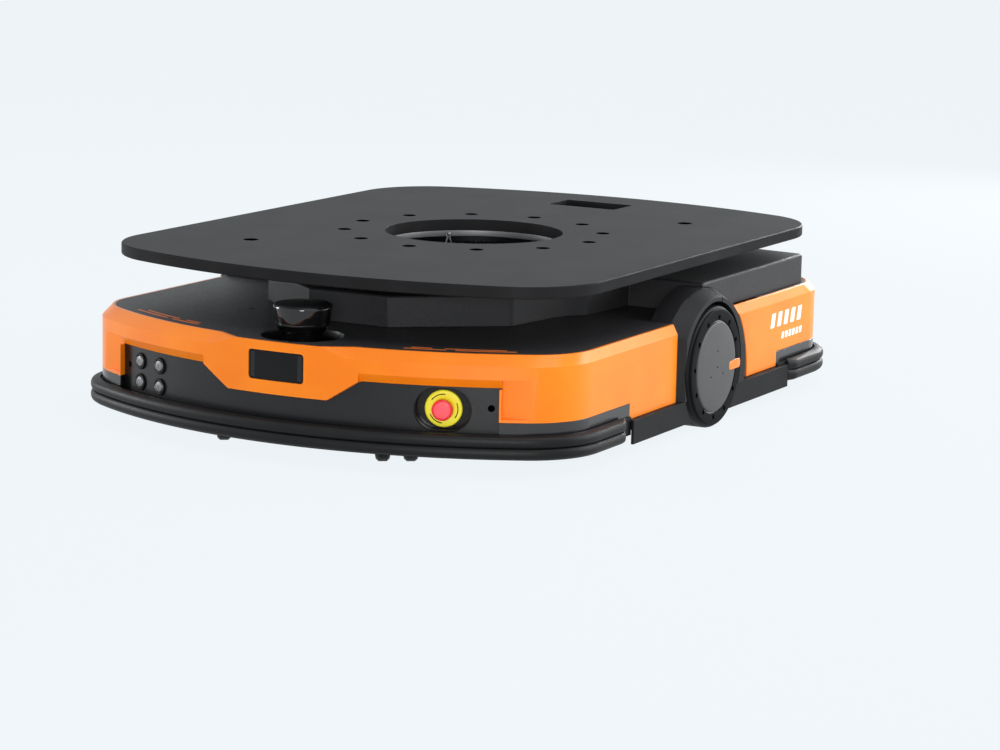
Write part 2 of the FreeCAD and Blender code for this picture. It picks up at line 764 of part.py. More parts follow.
def upper_cover():
    """Moulded cover over the lifting gear, open round the turning ring."""
    outer = upper_block(0, deck_top, upper_cover_top)
    outer = rounded_upright(outer, nose_edge_radius, [nose_corner])
    outer = rounded_upright(outer, nose_step_radius, [nose_steps[0], nose_steps[2]])
    outer = rounded_upright(outer, upper_corner_radius, [(upper_half_width, upper_rear_y)])
    top_edges = [edge for edge in outer.Edges if edge.BoundBox.ZMin > upper_cover_top - 0.01]
    outer = outer.makeFillet(upper_edge_radius, top_edges)
    cover = outer.cut(upper_block(sheet, deck_top, upper_cover_top - sheet))
    cover = cover.cut(rod(cover_opening_radius, (0, 0, deck_top), Z_AXIS, 100))
    return max(cover.cut(arch_keepout()).Solids, key=lambda solid: solid.Volume)


def deck_plates():
    """Low decks before and behind the upper cover; the front one has the pocket for the lidar."""
    top = (shell_top_side + shell_wall + seam, shell_top_end + shell_wall + seam)
    plate = Part.Face(plan_outline(*top, deck_top - sheet)).extrude(Vector(0, 0, sheet))
    tongue = lobe(shell_inset + shell_wall + seam)
    tongue = tongue.common(box(-FAR, FAR, -FAR, FAR, deck_top - sheet, deck_top))
    plate = fused([plate, tongue])
    floor_z = deck_top - lidar_pocket_depth
    cup = rod(lidar_pocket_radius + sheet, (0, lidar_y, floor_z - sheet), Z_AXIS, lidar_pocket_depth + sheet)
    inside = hull(shell_inset + panel_depth + 2)
    plate = fused([plate, cup.common(inside)])
    plate = plate.cut(rod(lidar_pocket_radius, (0, lidar_y, floor_z), Z_AXIS, 100))
    plate = plate.cut(upper_block(14, deck_top - 10, deck_top + 10))
    plate = plate.cut(rod(5, (-181, nose_front_y + 30, deck_top - 20), Z_AXIS, 40))
    plate = plate.cut(arch_keepout()).cut(box(-FAR, FAR, nose_root_y + 20, rear_deck_front_y, 0, FAR))
    front = [solid for solid in plate.Solids if solid.CenterOfMass.y < 0]
    rear = [solid for solid in plate.Solids if solid.CenterOfMass.y > 0]
    return [max(group, key=lambda solid: solid.Volume) for group in (front, rear)]


def lidar():
    """Scanner on the front deck: tapered base on a neck, and a round dark window with its cap."""
    floor_z = deck_top - lidar_pocket_depth
    y = lidar_y
    profile = [
        (0, y, floor_z),
        (lidar_neck_radius + 6, y, floor_z),
        (lidar_neck_radius + 6, y, floor_z + 4),
        (lidar_neck_radius, y, floor_z + 7),
        (lidar_neck_radius, y, lidar_neck_top),
        (lidar_waist_radius - 1, y, lidar_window_bottom - 1),
        (lidar_waist_radius - 1, y, lidar_window_bottom),
        (0, y, lidar_window_bottom),
    ]
    keep("lidar_base", turned(profile, (0, y, 0), Z_AXIS))
    bowl = [
        (0, y, lidar_window_bottom),
        (lidar_waist_radius, y, lidar_window_bottom),
        (lidar_radius, y, lidar_top - 5),
        (lidar_radius, y, lidar_top),
        (0, y, lidar_top),
    ]
    window = turned(bowl, (0, y, 0), Z_AXIS)
    rim = [edge for edge in window.Edges if edge.BoundBox.ZMin > lidar_top - 0.01 and edge.Length > 10]
    keep("lidar_window", window.makeFillet(3, rim))


# ---------------------------------------------------------------- drive wheels


def drive_side(side, sx):
    """Tyre, hub with its axle, clamping ring, hub cap and gearmotor of one side."""
    z = wheel_radius
    hub_inner = tyre_inner_x + 2
    tyre_profile = [
        (tyre_inner_x, 0, z + rim_radius),
        (tyre_outer_x, 0, z + rim_radius),
        (tyre_outer_x, 0, z + wheel_radius - 5),
        (tyre_outer_x - 2, 0, z + wheel_radius - 1.5),
        (tyre_outer_x - 5, 0, z + wheel_radius),
        (tyre_inner_x + 5, 0, z + wheel_radius),
        (tyre_inner_x + 2, 0, z + wheel_radius - 1.5),
        (tyre_inner_x, 0, z + wheel_radius - 5),
    ]
    hub_profile = [
        (arch_inner_x - 46, 0, z),
        (arch_inner_x - 46, 0, z + axle_radius),
        (hub_inner, 0, z + axle_radius),
        (hub_inner, 0, z + 30),
        (tyre_outer_x - 18, 0, z + 34),
        (tyre_outer_x - 18, 0, z + rim_radius - 8),
        (hub_inner, 0, z + rim_radius - 6),
        (hub_inner, 0, z + rim_radius),
        (tyre_outer_x, 0, z + rim_radius),
        (tyre_outer_x, 0, z),
    ]
    dome_radius = (cap_radius**2 + cap_dome**2) / (2 * cap_dome)
    cap = rod(cap_radius, (tyre_outer_x, 0, z), X_AXIS, ring_thickness + cap_dome)
    ball = Part.makeSphere(dome_radius, Vector(half_width - dome_radius, 0, z), X_AXIS)
    ring = [tube(ring_radius, cap_radius + seam, (tyre_outer_x, 0, z), X_AXIS, ring_thickness)]
    for number in range(ring_screw_count):
        angle = 2 * math.pi * number / ring_screw_count + math.radians(ring_screw_phase)
        place = (ring_screw_circle * math.cos(angle), z + ring_screw_circle * math.sin(angle))
        ring.append(rod(ring_screw_radius, (tyre_outer_x + 1, *place), X_AXIS, ring_thickness))
    pieces = {
        "tyre": turned(tyre_profile, (0, 0, z), X_AXIS),
        "hub": turned(hub_profile, (0, 0, z), X_AXIS),
        "clamp_ring": fused(ring),
        "hub_cap": cap.common(ball),
    }
    bracket = arch_inner_x - 11
    start = bearing_x + bearing_width / 2 + drive_motor_gap
    body = rod(drive_motor_radius, (start, 0, z), X_AXIS, bracket - drive_flange - start)
    half = drive_motor_radius + 6
    flange = box(bracket - drive_flange, bracket, -half, half, z - half, z + half)
    bore = rod(axle_radius + running_clearance, (arch_inner_x - 48, 0, z), X_AXIS, 100)
    pieces["gearmotor"] = fused([body, flange]).cut(bore)
    for name, shape in pieces.items():
        keep(f"{side}_{name}", shape if sx > 0 else mirror_x(shape))


# ---------------------------------------------------------------- casters


def caster(name, x, y):
    """Twin-wheel swivel caster: stem and fork in one casting, with the wheels on its pin."""
    wheel_y = y - caster_trail
    z = caster_radius
    head = rod(24, (x, y, caster_radius * 2 + 4), Z_AXIS, caster_plate_z - seam - caster_radius * 2 - 4)
    stem = rod(stem_radius, (x, y, caster_radius * 2 + 4), Z_AXIS, 20)
    half = caster_fork_half
    neck = box(x - half, x + half, wheel_y - 8, y + 12, z - 8, caster_radius * 2 + 6)
    pin_half = half + caster_tread + 1
    pin = rod(caster_pin_radius, (x - pin_half, wheel_y, z), X_AXIS, 2 * pin_half)
    fork = fused([head, stem, neck, pin])
    keep(f"{name}_fork", fork.rotated(Vector(x, y, 0), Z_AXIS, caster_rest_angle))
    wheels = []
    for sx in (-1, 1):
        start = x + half + 0.5 if sx > 0 else x - half - 0.5 - caster_tread
        wheel = rod(caster_radius, (start, wheel_y, z), X_AXIS, caster_tread)
        wheel = wheel.makeFillet(3, [edge for edge in wheel.Edges if edge.Length > 100])
        bore = rod(caster_pin_radius + running_clearance, (start - 1, wheel_y, z), X_AXIS, caster_tread + 2)
        wheels.append(wheel.cut(bore).rotated(Vector(x, y, 0), Z_AXIS, caster_rest_angle))
    keep(f"{name}_wheels", Part.makeCompound(wheels))


# ---------------------------------------------------------------- gears


def gear_outline(teeth, module, tip, root, thin, phase):
    """Toothed outline in the XY plane; each tooth is a trapezoid with flanks that follow the pressure angle."""
    pitch_radius = teeth * module / 2
    step = 2 * math.pi / teeth
    half_tooth = math.pi * module / 4 * thin / pitch_radius
    slope = math.tan(math.radians(20)) / pitch_radius
    points = []
    for tooth in range(teeth):
        middle = tooth * step + phase
        for radius, side in ((root, -1), (tip, -1), (tip, 1), (root, 1)):
            angle = middle + side * (half_tooth - (radius - pitch_radius) * slope)
            points.append(Vector(radius * math.cos(angle), radius * math.sin(angle), 0))
    return Part.Wire(Part.makePolygon(points + points[:1]))


def spur_gear(teeth, module, width, phase):
    """External gear about Z, with its lower face at the origin."""
    pitch_radius = teeth * module / 2
    outline = gear_outline(teeth, module, pitch_radius + 0.9 * module, pitch_radius - 1.25 * module, 0.86, phase)
    return Part.Face(outline).extrude(Vector(0, 0, width))


def lift_shaft(end):
    """Cross shaft with two lifting levers and the gear that couples it to its partner."""
    stub = motor_stub if end > 0 else 0
    parts = [rod(shaft_radius, (-shaft_half_length - stub, 0, 0), X_AXIS, 2 * shaft_half_length + stub)]
    for sx in (-1, 1):
        x0 = sx * lever_x - lever_width / 2
        parts.append(rod(20, (x0, 0, 0), X_AXIS, lever_width))
        parts.append(rod(lever_tip_radius, (x0, end * lever_length, 0), X_AXIS, lever_width))
        low, high = sorted((0, end * lever_length))
        parts.append(box(x0, x0 + lever_width, low, high, -9, 9))
    phase = 0 if end > 0 else math.pi / lift_gear_teeth
    toward = -90 if end > 0 else 90
    gear = spur_gear(lift_gear_teeth, lift_gear_module, lift_gear_width, phase + math.radians(toward))
    gear.translate(Vector(0, 0, -lift_gear_width / 2))
    gear.rotate(ORIGIN, Y_AXIS, 90)
    arms = fused(parts)
    arms.rotate(ORIGIN, X_AXIS, -end * lever_angle)
    return fused([arms, gear]).translated(Vector(0, end * shaft_y, shaft_z))


def lift_parts():
    """Posts, bearing blocks, motor, levers and the carriage that rides up the posts."""
    corners = [(sx * post_offset, sy * post_offset) for sx in (-1, 1) for sy in (-1, 1)]
    post_top = carriage_top + 2
    posts = [rod(post_radius, (x, y, tray_top), Z_AXIS, post_top - tray_top) for x, y in corners]
    keep("guide_posts", Part.makeCompound(posts))

    blocks = []
    for sx in (-1, 1):
        for sy in (-1, 1):
            x, y = sx * bearing_x, sy * shaft_y
            across = (x - bearing_width / 2, x + bearing_width / 2)
            block = box(*across, y - bearing_depth / 2, y + bearing_depth / 2, tray_top, shaft_z + 17)
            bore = rod(shaft_radius + running_clearance, (x - bearing_width, y, shaft_z), X_AXIS, 2 * bearing_width)
            blocks.append(block.cut(bore))
    keep("lift_bearing_blocks", Part.makeCompound(blocks))

    motor_end = bearing_x + bearing_width / 2
    motor_length = arch_inner_x - 13 - motor_end
    motor = rod(lift_motor_radius, (-motor_end - motor_length, shaft_y, shaft_z), X_AXIS, motor_length)
    bore = rod(shaft_radius + running_clearance, (-motor_end - motor_stub - 4, shaft_y, shaft_z), X_AXIS, 60)
    keep("lift_gearmotor", motor.cut(bore))
    keep("front_lift_shaft", lift_shaft(-1))
    keep("rear_lift_shaft", lift_shaft(1))

    plate = tube(carriage_radius, carriage_hole_radius, (0, 0, carriage_bottom), Z_AXIS, carriage_thickness)
    parts = [plate]
    for x, y in corners:
        parts.append(rod(bush_radius, (x, y, carriage_bottom - 46), Z_AXIS, 46 + carriage_thickness))
    pad_bottom = shaft_z - lever_drop + lever_tip_radius + lever_gap
    pad_y = shaft_y + lever_length * (1 + math.cos(math.radians(lever_angle))) / 2
    for sx in (-1, 1):
        for sy in (-1, 1):
            x, y = sx * lever_x, sy * pad_y
            parts.append(box(x - 10, x + 10, y - 12, y + 12, pad_bottom, carriage_bottom + 1))
    carriage = fused(parts)
    for x, y in corners:
        carriage = carriage.cut(rod(post_radius + running_clearance, (x, y, 0), Z_AXIS, FAR))
    pinion_x = (ring_gear_teeth - pinion_teeth) * ring_gear_module / 2
    slew_bore = slew_shaft_radius + running_clearance
    carriage = carriage.cut(rod(slew_bore, (pinion_x, 0, 0), Z_AXIS, FAR))
    keep("lift_carriage", carriage)

    pinion = spur_gear(pinion_teeth, ring_gear_module, slew_pinion_width, 0)
    pinion.translate(Vector(0, 0, carriage_top + moving_gap))
    shaft_bottom = carriage_bottom - slew_motor_length + 26
    shaft = rod(slew_shaft_radius, (0, 0, shaft_bottom), Z_AXIS, carriage_top + 8 - shaft_bottom)
    keep("slew_pinion", fused([pinion, shaft]).translated(Vector(pinion_x, 0, 0)))
    motor = rod(slew_motor_radius, (pinion_x, 0, carriage_bottom - slew_motor_length), Z_AXIS, slew_motor_length)
    keep("slew_gearmotor", motor.cut(rod(slew_bore, (pinion_x, 0, shaft_bottom - 2), Z_AXIS, 100)))


def turning_ring():
    """Fixed outer race on the carriage, and the turning inner race with its inside teeth."""
    outer = tube(race_outer_radius, race_radius + moving_gap, (0, 0, carriage_top), Z_AXIS, race_height)
    keep("slew_outer_race", outer)
    bottom = carriage_top + moving_gap
    pitch_radius = ring_gear_teeth * ring_gear_module / 2
    space_root = pitch_radius + 1.25 * ring_gear_module
    space_tip = pitch_radius - 0.9 * ring_gear_module
    phase = 0.0
    teeth = gear_outline(ring_gear_teeth, ring_gear_module, space_root, space_tip, 1.14, phase)
    inner = rod(race_radius, (0, 0, bottom), Z_AXIS, platform_bottom - bottom)
    toothed = Part.Face(teeth).extrude(Vector(0, 0, 22)).translated(Vector(0, 0, bottom - 1))
    inner = inner.cut(toothed).cut(rod(space_root + 4, (0, 0, bottom + 20), Z_AXIS, 60))
    keep("slew_ring_gear", inner.cut(bolt_circle(platform_bottom - bolt_thread_depth)))


def bolt_circle(z):
    """The platform's bolt holes, from a height upwards."""
    holes = []
    for number in range(bolt_count):
        angle = 2 * math.pi * number / bolt_count
        place = (bolt_circle_radius * math.cos(angle), bolt_circle_radius * math.sin(angle), z)
        holes.append(rod(bolt_hole_radius, place, Z_AXIS, FAR))
    return Part.makeCompound(holes)


# ---------------------------------------------------------------- platform


def platform():
    """Load plate with its bolt circle, two pin holes, a round bore and a rear window."""
    outline = rounded_outline(
        platform_half_width, platform_half_length, platform_arc_radius, platform_corner_radius, platform_bottom
    )
    plate = Part.Face(outline).extrude(Vector(0, 0, platform_thickness))
    rims = [edge for edge in plate.Edges if edge.BoundBox.ZLength < 0.01]
    plate = plate.makeChamfer(platform_edge, rims)
    cuts = [rod(platform_bore_radius, (0, 0, 0), Z_AXIS, FAR), bolt_circle(0)]
    for sign in (-1, 1):
        cuts.append(rod(pin_hole_radius, (sign * pin_hole[0], sign * pin_hole[1], 0), Z_AXIS, FAR))
    window = box(-window_half_width, window_half_width, window_front_y, window_rear_y, 0, FAR)
    cuts.append(window.makeFillet(4, [edge for edge in window.Edges if edge.BoundBox.ZLength > FAR / 2]))
    return plate.cut(Part.makeCompound(cuts))


# ---------------------------------------------------------------- assembly

keep("chassis_frame", chassis())
front_bumper = bumper()
keep("front_bumper", front_bumper)
keep("rear_bumper", mirror_y(front_bumper))
keep("right_skirts", skirts(1))
keep("left_skirts", skirts(-1))
panel_gap = box(-panel_half_width, panel_half_width, -FAR, 0, 0, 100)
keep("front_trim", trim(-FAR, -trim_end_y).cut(panel_gap))
keep("rear_trim", trim(trim_end_y, FAR))

whole_shell = painted_shell()
keep("front_shell", front_shell(whole_shell))
keep("rear_shell", rear_shell(whole_shell))
keep("front_panel", front_panel())
keep("display_screen", display_screen())
push_button_parts()
emergency_stop()

front_deck, rear_deck = deck_plates()
keep("front_deck", front_deck)
keep("rear_deck", rear_deck)
keep("upper_cover", upper_cover())
for name, fender in zip(("front", "rear"), fenders()):
    keep(f"right_{name}_fender", fender)
    keep(f"left_{name}_fender", mirror_x(fender))
lidar()

drive_side("right", 1)
drive_side("left", -1)
for caster_name, caster_at_x, caster_at_y in caster_places():
    caster(caster_name, caster_at_x, caster_at_y)

battery_front = lever_reach + inside_gap
battery_rear = upper_rear_y - 31
keep("battery_pack", box(-battery_half_width, battery_half_width, battery_front, battery_rear, tray_top, battery_top))
control_front = nose_front_y + 16
control_rear = -lever_reach - inside_gap
keep("control_box", box(-control_half_width, control_half_width, control_front, control_rear, tray_top, control_top))

lift_parts()
turning_ring()
keep("platform_plate", platform())

os.makedirs("parts", exist_ok=True)
for node, shape in nodes.items():
    shape.exportStep(f"parts/{node}.step")
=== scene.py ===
import json
import math

import bmesh
import bpy
import numpy as np
from mathutils import Matrix, Vector


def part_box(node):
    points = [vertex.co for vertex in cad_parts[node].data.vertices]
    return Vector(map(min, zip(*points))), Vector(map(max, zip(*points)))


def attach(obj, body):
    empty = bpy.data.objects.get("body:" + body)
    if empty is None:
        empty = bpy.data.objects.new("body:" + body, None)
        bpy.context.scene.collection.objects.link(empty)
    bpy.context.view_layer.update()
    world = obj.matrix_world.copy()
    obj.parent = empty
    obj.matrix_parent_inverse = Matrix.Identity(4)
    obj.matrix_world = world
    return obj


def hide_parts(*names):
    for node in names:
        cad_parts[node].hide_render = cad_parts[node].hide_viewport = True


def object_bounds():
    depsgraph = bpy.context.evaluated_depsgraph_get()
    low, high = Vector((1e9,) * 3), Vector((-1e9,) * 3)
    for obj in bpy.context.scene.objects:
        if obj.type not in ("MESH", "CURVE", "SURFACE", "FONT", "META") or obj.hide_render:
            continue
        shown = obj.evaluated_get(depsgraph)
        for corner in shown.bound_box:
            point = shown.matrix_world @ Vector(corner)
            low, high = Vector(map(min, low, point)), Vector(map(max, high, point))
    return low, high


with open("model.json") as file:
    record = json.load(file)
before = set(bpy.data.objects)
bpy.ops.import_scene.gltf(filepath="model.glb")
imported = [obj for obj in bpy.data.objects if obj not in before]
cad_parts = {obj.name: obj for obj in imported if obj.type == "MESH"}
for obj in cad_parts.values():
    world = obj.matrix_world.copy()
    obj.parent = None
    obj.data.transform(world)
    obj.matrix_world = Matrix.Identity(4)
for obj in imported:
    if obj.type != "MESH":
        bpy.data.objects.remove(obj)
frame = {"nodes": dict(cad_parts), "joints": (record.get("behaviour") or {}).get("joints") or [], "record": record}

cad_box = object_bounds()

# ---------------------------------------------------------------- orange body shells
# The front and rear shells are ABS mouldings about 4 mm thick, sprayed orange and lacquered.
# Each hooks over the frame's posts and is held by screws under the bumpers; the front one
# carries the display in a raised lobe, and a bevelled reveal round the dark panel.

MM = 0.001
bodies = frame["record"]["behaviour"]["bodies"]
body_of_node = {node: body for body, members in bodies.items() for node in members}


def linear(hex_colour):
    """sRGB hex to a linear RGBA colour."""
    channels = np.array([int(hex_colour[i:i + 2], 16) for i in (1, 3, 5)]) / 255
    low = channels / 12.92
    high = ((channels + 0.055) / 1.055) ** 2.4
    return (*np.where(channels <= 0.04045, low, high).tolist(), 1.0)


def add(tree, kind, settings=(), **links):
    """Adds a node, sets its properties and sockets, and links sockets given as node outputs."""
    node = tree.nodes.new(kind)
    for key, value in dict(settings).items():
        if isinstance(key, int) or key in node.inputs:
            node.inputs[key].default_value = value
        else:
            setattr(node, key, value)
    for key, source in links.items():
        tree.links.new(source, node.inputs[key.replace("_", " ")])
    return node


def material(name, **shader):
    """Empty node material with one Principled shader set to the given socket values."""
    made = bpy.data.materials.new(name)
    made.use_nodes = True
    tree = made.node_tree
    tree.nodes.clear()
    settings = {key.replace("_", " "): value for key, value in shader.items()}
    bsdf = add(tree, "ShaderNodeBsdfPrincipled", settings)
    add(tree, "ShaderNodeOutputMaterial", Surface=bsdf.outputs["BSDF"])
    return made, tree, bsdf


def moulded(name, low, high, grain, roughness, depth, spread=0.3, **shader):
    """Plastic, rubber or paint: a grain of a size in mm mottles its colour, gloss and surface.

    low and high are the colour's darkest and lightest shade, and depth is the grain's height in mm.
    The real grains are well under a millimetre. They are drawn a few times coarser, so they show.
    """
    made, tree, bsdf = material(name, **shader)
    place = add(tree, "ShaderNodeTexCoord").outputs["Object"]
    fine = add(tree, "ShaderNodeTexNoise", {"Scale": 1000 / grain, "Detail": 3.0}, Vector=place)
    broad = add(tree, "ShaderNodeTexNoise", {"Scale": 12.0, "Detail": 2.0}, Vector=place)
    blend = add(tree, "ShaderNodeMath", {"operation": "MULTIPLY_ADD", 1: spread, 2: 0.0})
    tree.links.new(fine.outputs["Fac"], blend.inputs[0])
    tree.links.new(broad.outputs["Fac"], blend.inputs[2])
    shade = add(tree, "ShaderNodeValToRGB", Fac=blend.outputs["Value"])
    shade.color_ramp.elements[0].position = 0.35
    shade.color_ramp.elements[1].position = 0.85
    shade.color_ramp.elements[0].color = linear(low)
    shade.color_ramp.elements[1].color = linear(high)
    tree.links.new(shade.outputs["Color"], bsdf.inputs["Base Color"])
    gloss = add(
        tree, "ShaderNodeMapRange",
        {"From Min": 0.3, "From Max": 0.7, "To Min": roughness - 0.05, "To Max": roughness + 0.05},
        Value=fine.outputs["Fac"],
    )
    tree.links.new(gloss.outputs["Result"], bsdf.inputs["Roughness"])
    relief = add(
        tree, "ShaderNodeBump", {"Strength": 1.0, "Distance": depth * MM}, Height=fine.outputs["Fac"]
    )
    tree.links.new(relief.outputs["Normal"], bsdf.inputs["Normal"])
    return made


def carry(node, finish, edge=0.0, crease=28.0):
    """Smooth, edge-rounded copy of a CAD node that stands for it and rides on its body.

    The copy's doubles are merged, its edges sharper than the crease angle in degrees stay
    sharp, and a bevel of the given width in mm rounds them.
    """
    build = bmesh.new()
    build.from_mesh(frame["nodes"][node].data)
    bmesh.ops.remove_doubles(build, verts=build.verts, dist=0.004 * MM)
    flat = math.radians(0.2)
    bmesh.ops.dissolve_limit(build, angle_limit=flat, verts=build.verts, edges=build.edges)
    mesh = bpy.data.meshes.new("dressed_" + node)
    build.to_mesh(mesh)
    build.free()
    for attribute in [a.name for a in mesh.attributes if a.name == "custom_normal"]:
        mesh.attributes.remove(mesh.attributes[attribute])
    mesh.materials.clear()
    mesh.materials.append(finish)
    mesh.polygons.foreach_set("material_index", [0] * len(mesh.polygons))
    mesh.shade_smooth()
    mesh.set_sharp_from_angle(angle=math.radians(crease))
    piece = bpy.data.objects.new("dressed_" + node, mesh)
    bpy.context.scene.collection.objects.link(piece)
    if edge:
        bevel = piece.modifiers.new("edge", "BEVEL")
        bevel.width = edge * MM
        bevel.segments = 2
        bevel.limit_method = "ANGLE"
        bevel.angle_limit = math.radians(crease + 4)
        bevel.miter_outer = "MITER_ARC"
        bevel.use_clamp_overlap = True
    weight = piece.modifiers.new("normals", "WEIGHTED_NORMAL")
    weight.keep_sharp = True
    weight.weight = 80
    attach(piece, body_of_node[node])
    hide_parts(node)
    return piece


# Sprayed ABS under a thin lacquer: an even, full orange with a soft and weak highlight.
painted_orange = moulded(
    "sprayed_orange_abs", "#f97e00", "#ff8b06", grain=3.0, roughness=0.34, depth=0.012,
    spread=0.15, Coat_Weight=0.15, Coat_Roughness=0.25, IOR=1.45, Specular_IOR_Level=0.35,
)
for node in ("front_shell", "rear_shell"):
    carry(node, painted_orange, edge=1.1, crease=20.0)

# ---------------------------------------------------------------- plain marks
# The machine's marks are printed on the lacquer and on the deck. Here they are plain slanted
# bars and thin stripes with nothing to read, 0.2 mm proud as thick screen print is.


def grid_piece(name, grids, finish, body, replaces=()):
    """One object from grids of points; each grid is (points[n, m, 3] in mm, close_n, close_m)."""
    corners, faces, count = [], [], 0
    for points, close_n, close_m in grids:
        n, m = points.shape[:2]
        index = np.arange(n * m).reshape(n, m) + count
        rows = np.vstack([index, index[:1]]) if close_n else index
        rows = np.hstack([rows, rows[:, :1]]) if close_m else rows
        quads = np.stack([rows[:-1, :-1], rows[1:, :-1], rows[1:, 1:], rows[:-1, 1:]], axis=-1)
        corners.append(points.reshape(-1, 3))
        faces.append(quads.reshape(-1, 4))
        count += n * m
    mesh = bpy.data.meshes.new(name)
    mesh.from_pydata((np.vstack(corners) * MM).tolist(), [], np.vstack(faces).tolist())
    build = bmesh.new()
    build.from_mesh(mesh)
    bmesh.ops.remove_doubles(build, verts=build.verts, dist=0.002 * MM)
    bmesh.ops.dissolve_degenerate(build, edges=build.edges, dist=0.0005 * MM)
    bmesh.ops.recalc_face_normals(build, faces=build.faces)
    build.to_mesh(mesh)
    build.free()
    mesh.shade_smooth()
    mesh.set_sharp_from_angle(angle=math.radians(32))
    mesh.materials.append(finish)
    piece = bpy.data.objects.new(name, mesh)
    bpy.context.scene.collection.objects.link(piece)
    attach(piece, body)
    if replaces:
        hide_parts(*replaces)
    return piece


def slab(corners, normal, thick):
    """Thin slab under four corners: their quad, its copy a thickness below, and the wall between."""
    outer = np.array(corners, float)
    inner = outer - np.array(normal, float) * thick
    top, low = outer[[0, 1, 3, 2]].reshape(2, 2, 3), inner[[0, 1, 3, 2]].reshape(2, 2, 3)
    wall = np.stack([np.vstack([inner, inner[:1]]), np.vstack([outer, outer[:1]])])
    return [(top, False, False), (low, False, False), (wall, False, False)]


# Screen print: flat, matt ink in an even colour.
white_print = moulded(
    "white_screen_print", "#f4efe8", "#ffffff", grain=1.5, roughness=0.5, depth=0.01, spread=0.1,
)
orange_print = moulded(
    "orange_screen_print", "#e2690a", "#f8801a", grain=1.5, roughness=0.5, depth=0.01, spread=0.1,
)
print_proud, print_thick = 0.2, 0.4
side_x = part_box("rear_shell")[1].x / MM
bar_slant = 0.24
# Each bar is (y of its front edge at the foot, z of its foot, width, height).
tall_bars = [(228 + 25 * k, 113.5, 14, 22.0) for k in range(5)]
short_bars = [(271 + 13.5 * k, 92.5, 8.5, 10.0) for k in range(6)]
side_marks = []
for sign in (-1, 1):
    face_x = sign * (side_x + print_proud)
    for y, z, wide, tall in tall_bars + short_bars:
        lean = tall * bar_slant
        bar = [(face_x, y, z), (face_x, y + wide, z),
               (face_x, y + wide + lean, z + tall), (face_x, y + lean, z + tall)]
        side_marks += slab(bar, (sign, 0, 0), print_thick)
grid_piece("side_marks", side_marks, white_print, "chassis")

deck_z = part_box("front_deck")[1].z / MM
half_length = cad_box[1][1] / MM
# Both ends are bowed on an arc of this radius. The front one's centre is at x 0, y arc_y.
end_radius = 692.0
arc_y = end_radius - half_length
stripe_half = 2.2
# Each stripe is (radius round the end's centre, first angle, last angle in degrees).
stripes = ((635, 15.2, 20.5), (635, 21.7, 29.2), (625, 16.0, 18.6), (625, 20.2, 28.0))
deck_marks = []
for sign in (-1, 1):
    for radius, start, stop in stripes:
        angle = np.radians(np.linspace(start, stop, 12))
        across = np.array([radius - stripe_half, radius + stripe_half])
        x = sign * across[:, None] * np.sin(angle)
        y = arc_y - across[:, None] * np.cos(angle)
        points = np.stack([x, y, np.full_like(x, deck_z + print_proud)], axis=-1)
        under = points - np.array([0, 0, print_thick])
        rim = np.vstack([points[0], points[1, ::-1]])
        rim_low = np.vstack([under[0], under[1, ::-1]])
        wall = np.stack([rim, rim_low])
        deck_marks += [(points, False, False), (under, False, False), (wall, False, True)]
grid_piece("deck_marks", deck_marks, orange_print, "chassis")

# ---------------------------------------------------------------- front panel
# A bowed panel of dark grey textured ABS closes the front below the shell's lobe. It is clipped
# behind the reveal, and carries the push buttons, two small sensor holes and the stop's pocket.

# Fine-textured ABS: a near-black grey with a broad, dim sheen.
panel_grey = moulded(
    "textured_grey_abs", "#111112", "#19191b", grain=2.2, roughness=0.32, depth=0.02, spread=0.3,
    IOR=1.5, Specular_IOR_Level=0.35,
)
carry("front_panel", panel_grey, edge=0.5)

# ---------------------------------------------------------------- display
# Smoked glass sits in the shell's window in front of the screen. A narrow lighter strip of the
# screen's frame shows through it at each end.

shell_inset = 17.0


def bowed(x, z, inset):
    """Points on the front's bow: y follows the arc whose radius is the end radius less an inset."""
    radius = end_radius - inset
    return np.stack([x, arc_y - np.sqrt(radius**2 - x**2), z], axis=-1)


def rounded_rectangle(half_x, half_z, corner, steps=10):
    """Outline of a rounded rectangle round the origin, as an array of (x, z).

    A quarter circle is set in one corner, mirrored to the next and turned half round for the rest.
    """
    turn = np.linspace(0, np.pi / 2, steps)
    arc = np.stack([np.cos(turn), np.sin(turn)], axis=-1) * corner
    arc = arc + [half_x - corner, half_z - corner]
    half = np.vstack([arc, (arc * [-1, 1])[::-1]])
    return np.vstack([half, -half])


screen_z = 131.2
screen_half_x, screen_half_z, screen_corner = 44.2, 20.5, 6.5
# Smoked glass over an unlit screen: near black, with one sharp and weak reflection.
smoked = moulded(
    "smoked_screen_glass", "#070708", "#0c0d0f", grain=30.0, roughness=0.14, depth=0.0, spread=0.2,
    IOR=1.5, Specular_IOR_Level=0.2,
)
# Painted frame seen through the glass: a little lighter than the screen.
strip_grey = moulded(
    "screen_frame_grey", "#1c1e20", "#26282b", grain=3.0, roughness=0.4, depth=0.01,
    Specular_IOR_Level=0.2,
)
outline = rounded_rectangle(screen_half_x, screen_half_z, screen_corner)
# From the glass's hidden rim to its middle: the outline's share, and the depth under the shell.
layers = ((1.0, 6.0), (0.985, 2.2), (0.97, 1.6), (0.6, 1.6), (0.0, 1.6))
face = [bowed(outline[:, 0] * share, screen_z + outline[:, 1] * share, shell_inset + depth)
        for share, depth in layers]
grid_piece("display_glass", [(np.stack(face), False, True)], smoked, "chassis")
strip_near, strip_far, strip_half_z, strip_depth = 34.5, 41.5, 17.5, 1.45
strips = []
for sign in (-1, 1):
    x = sign * np.linspace(strip_near, strip_far, 6)
    z = screen_z + np.array([-strip_half_z, strip_half_z])
    x, z = np.meshgrid(x, z)
    strips.append((bowed(x, z, shell_inset + strip_depth), False, False))
grid_piece("display_strips", strips, strip_grey, "chassis")
carry("display_screen", smoked)

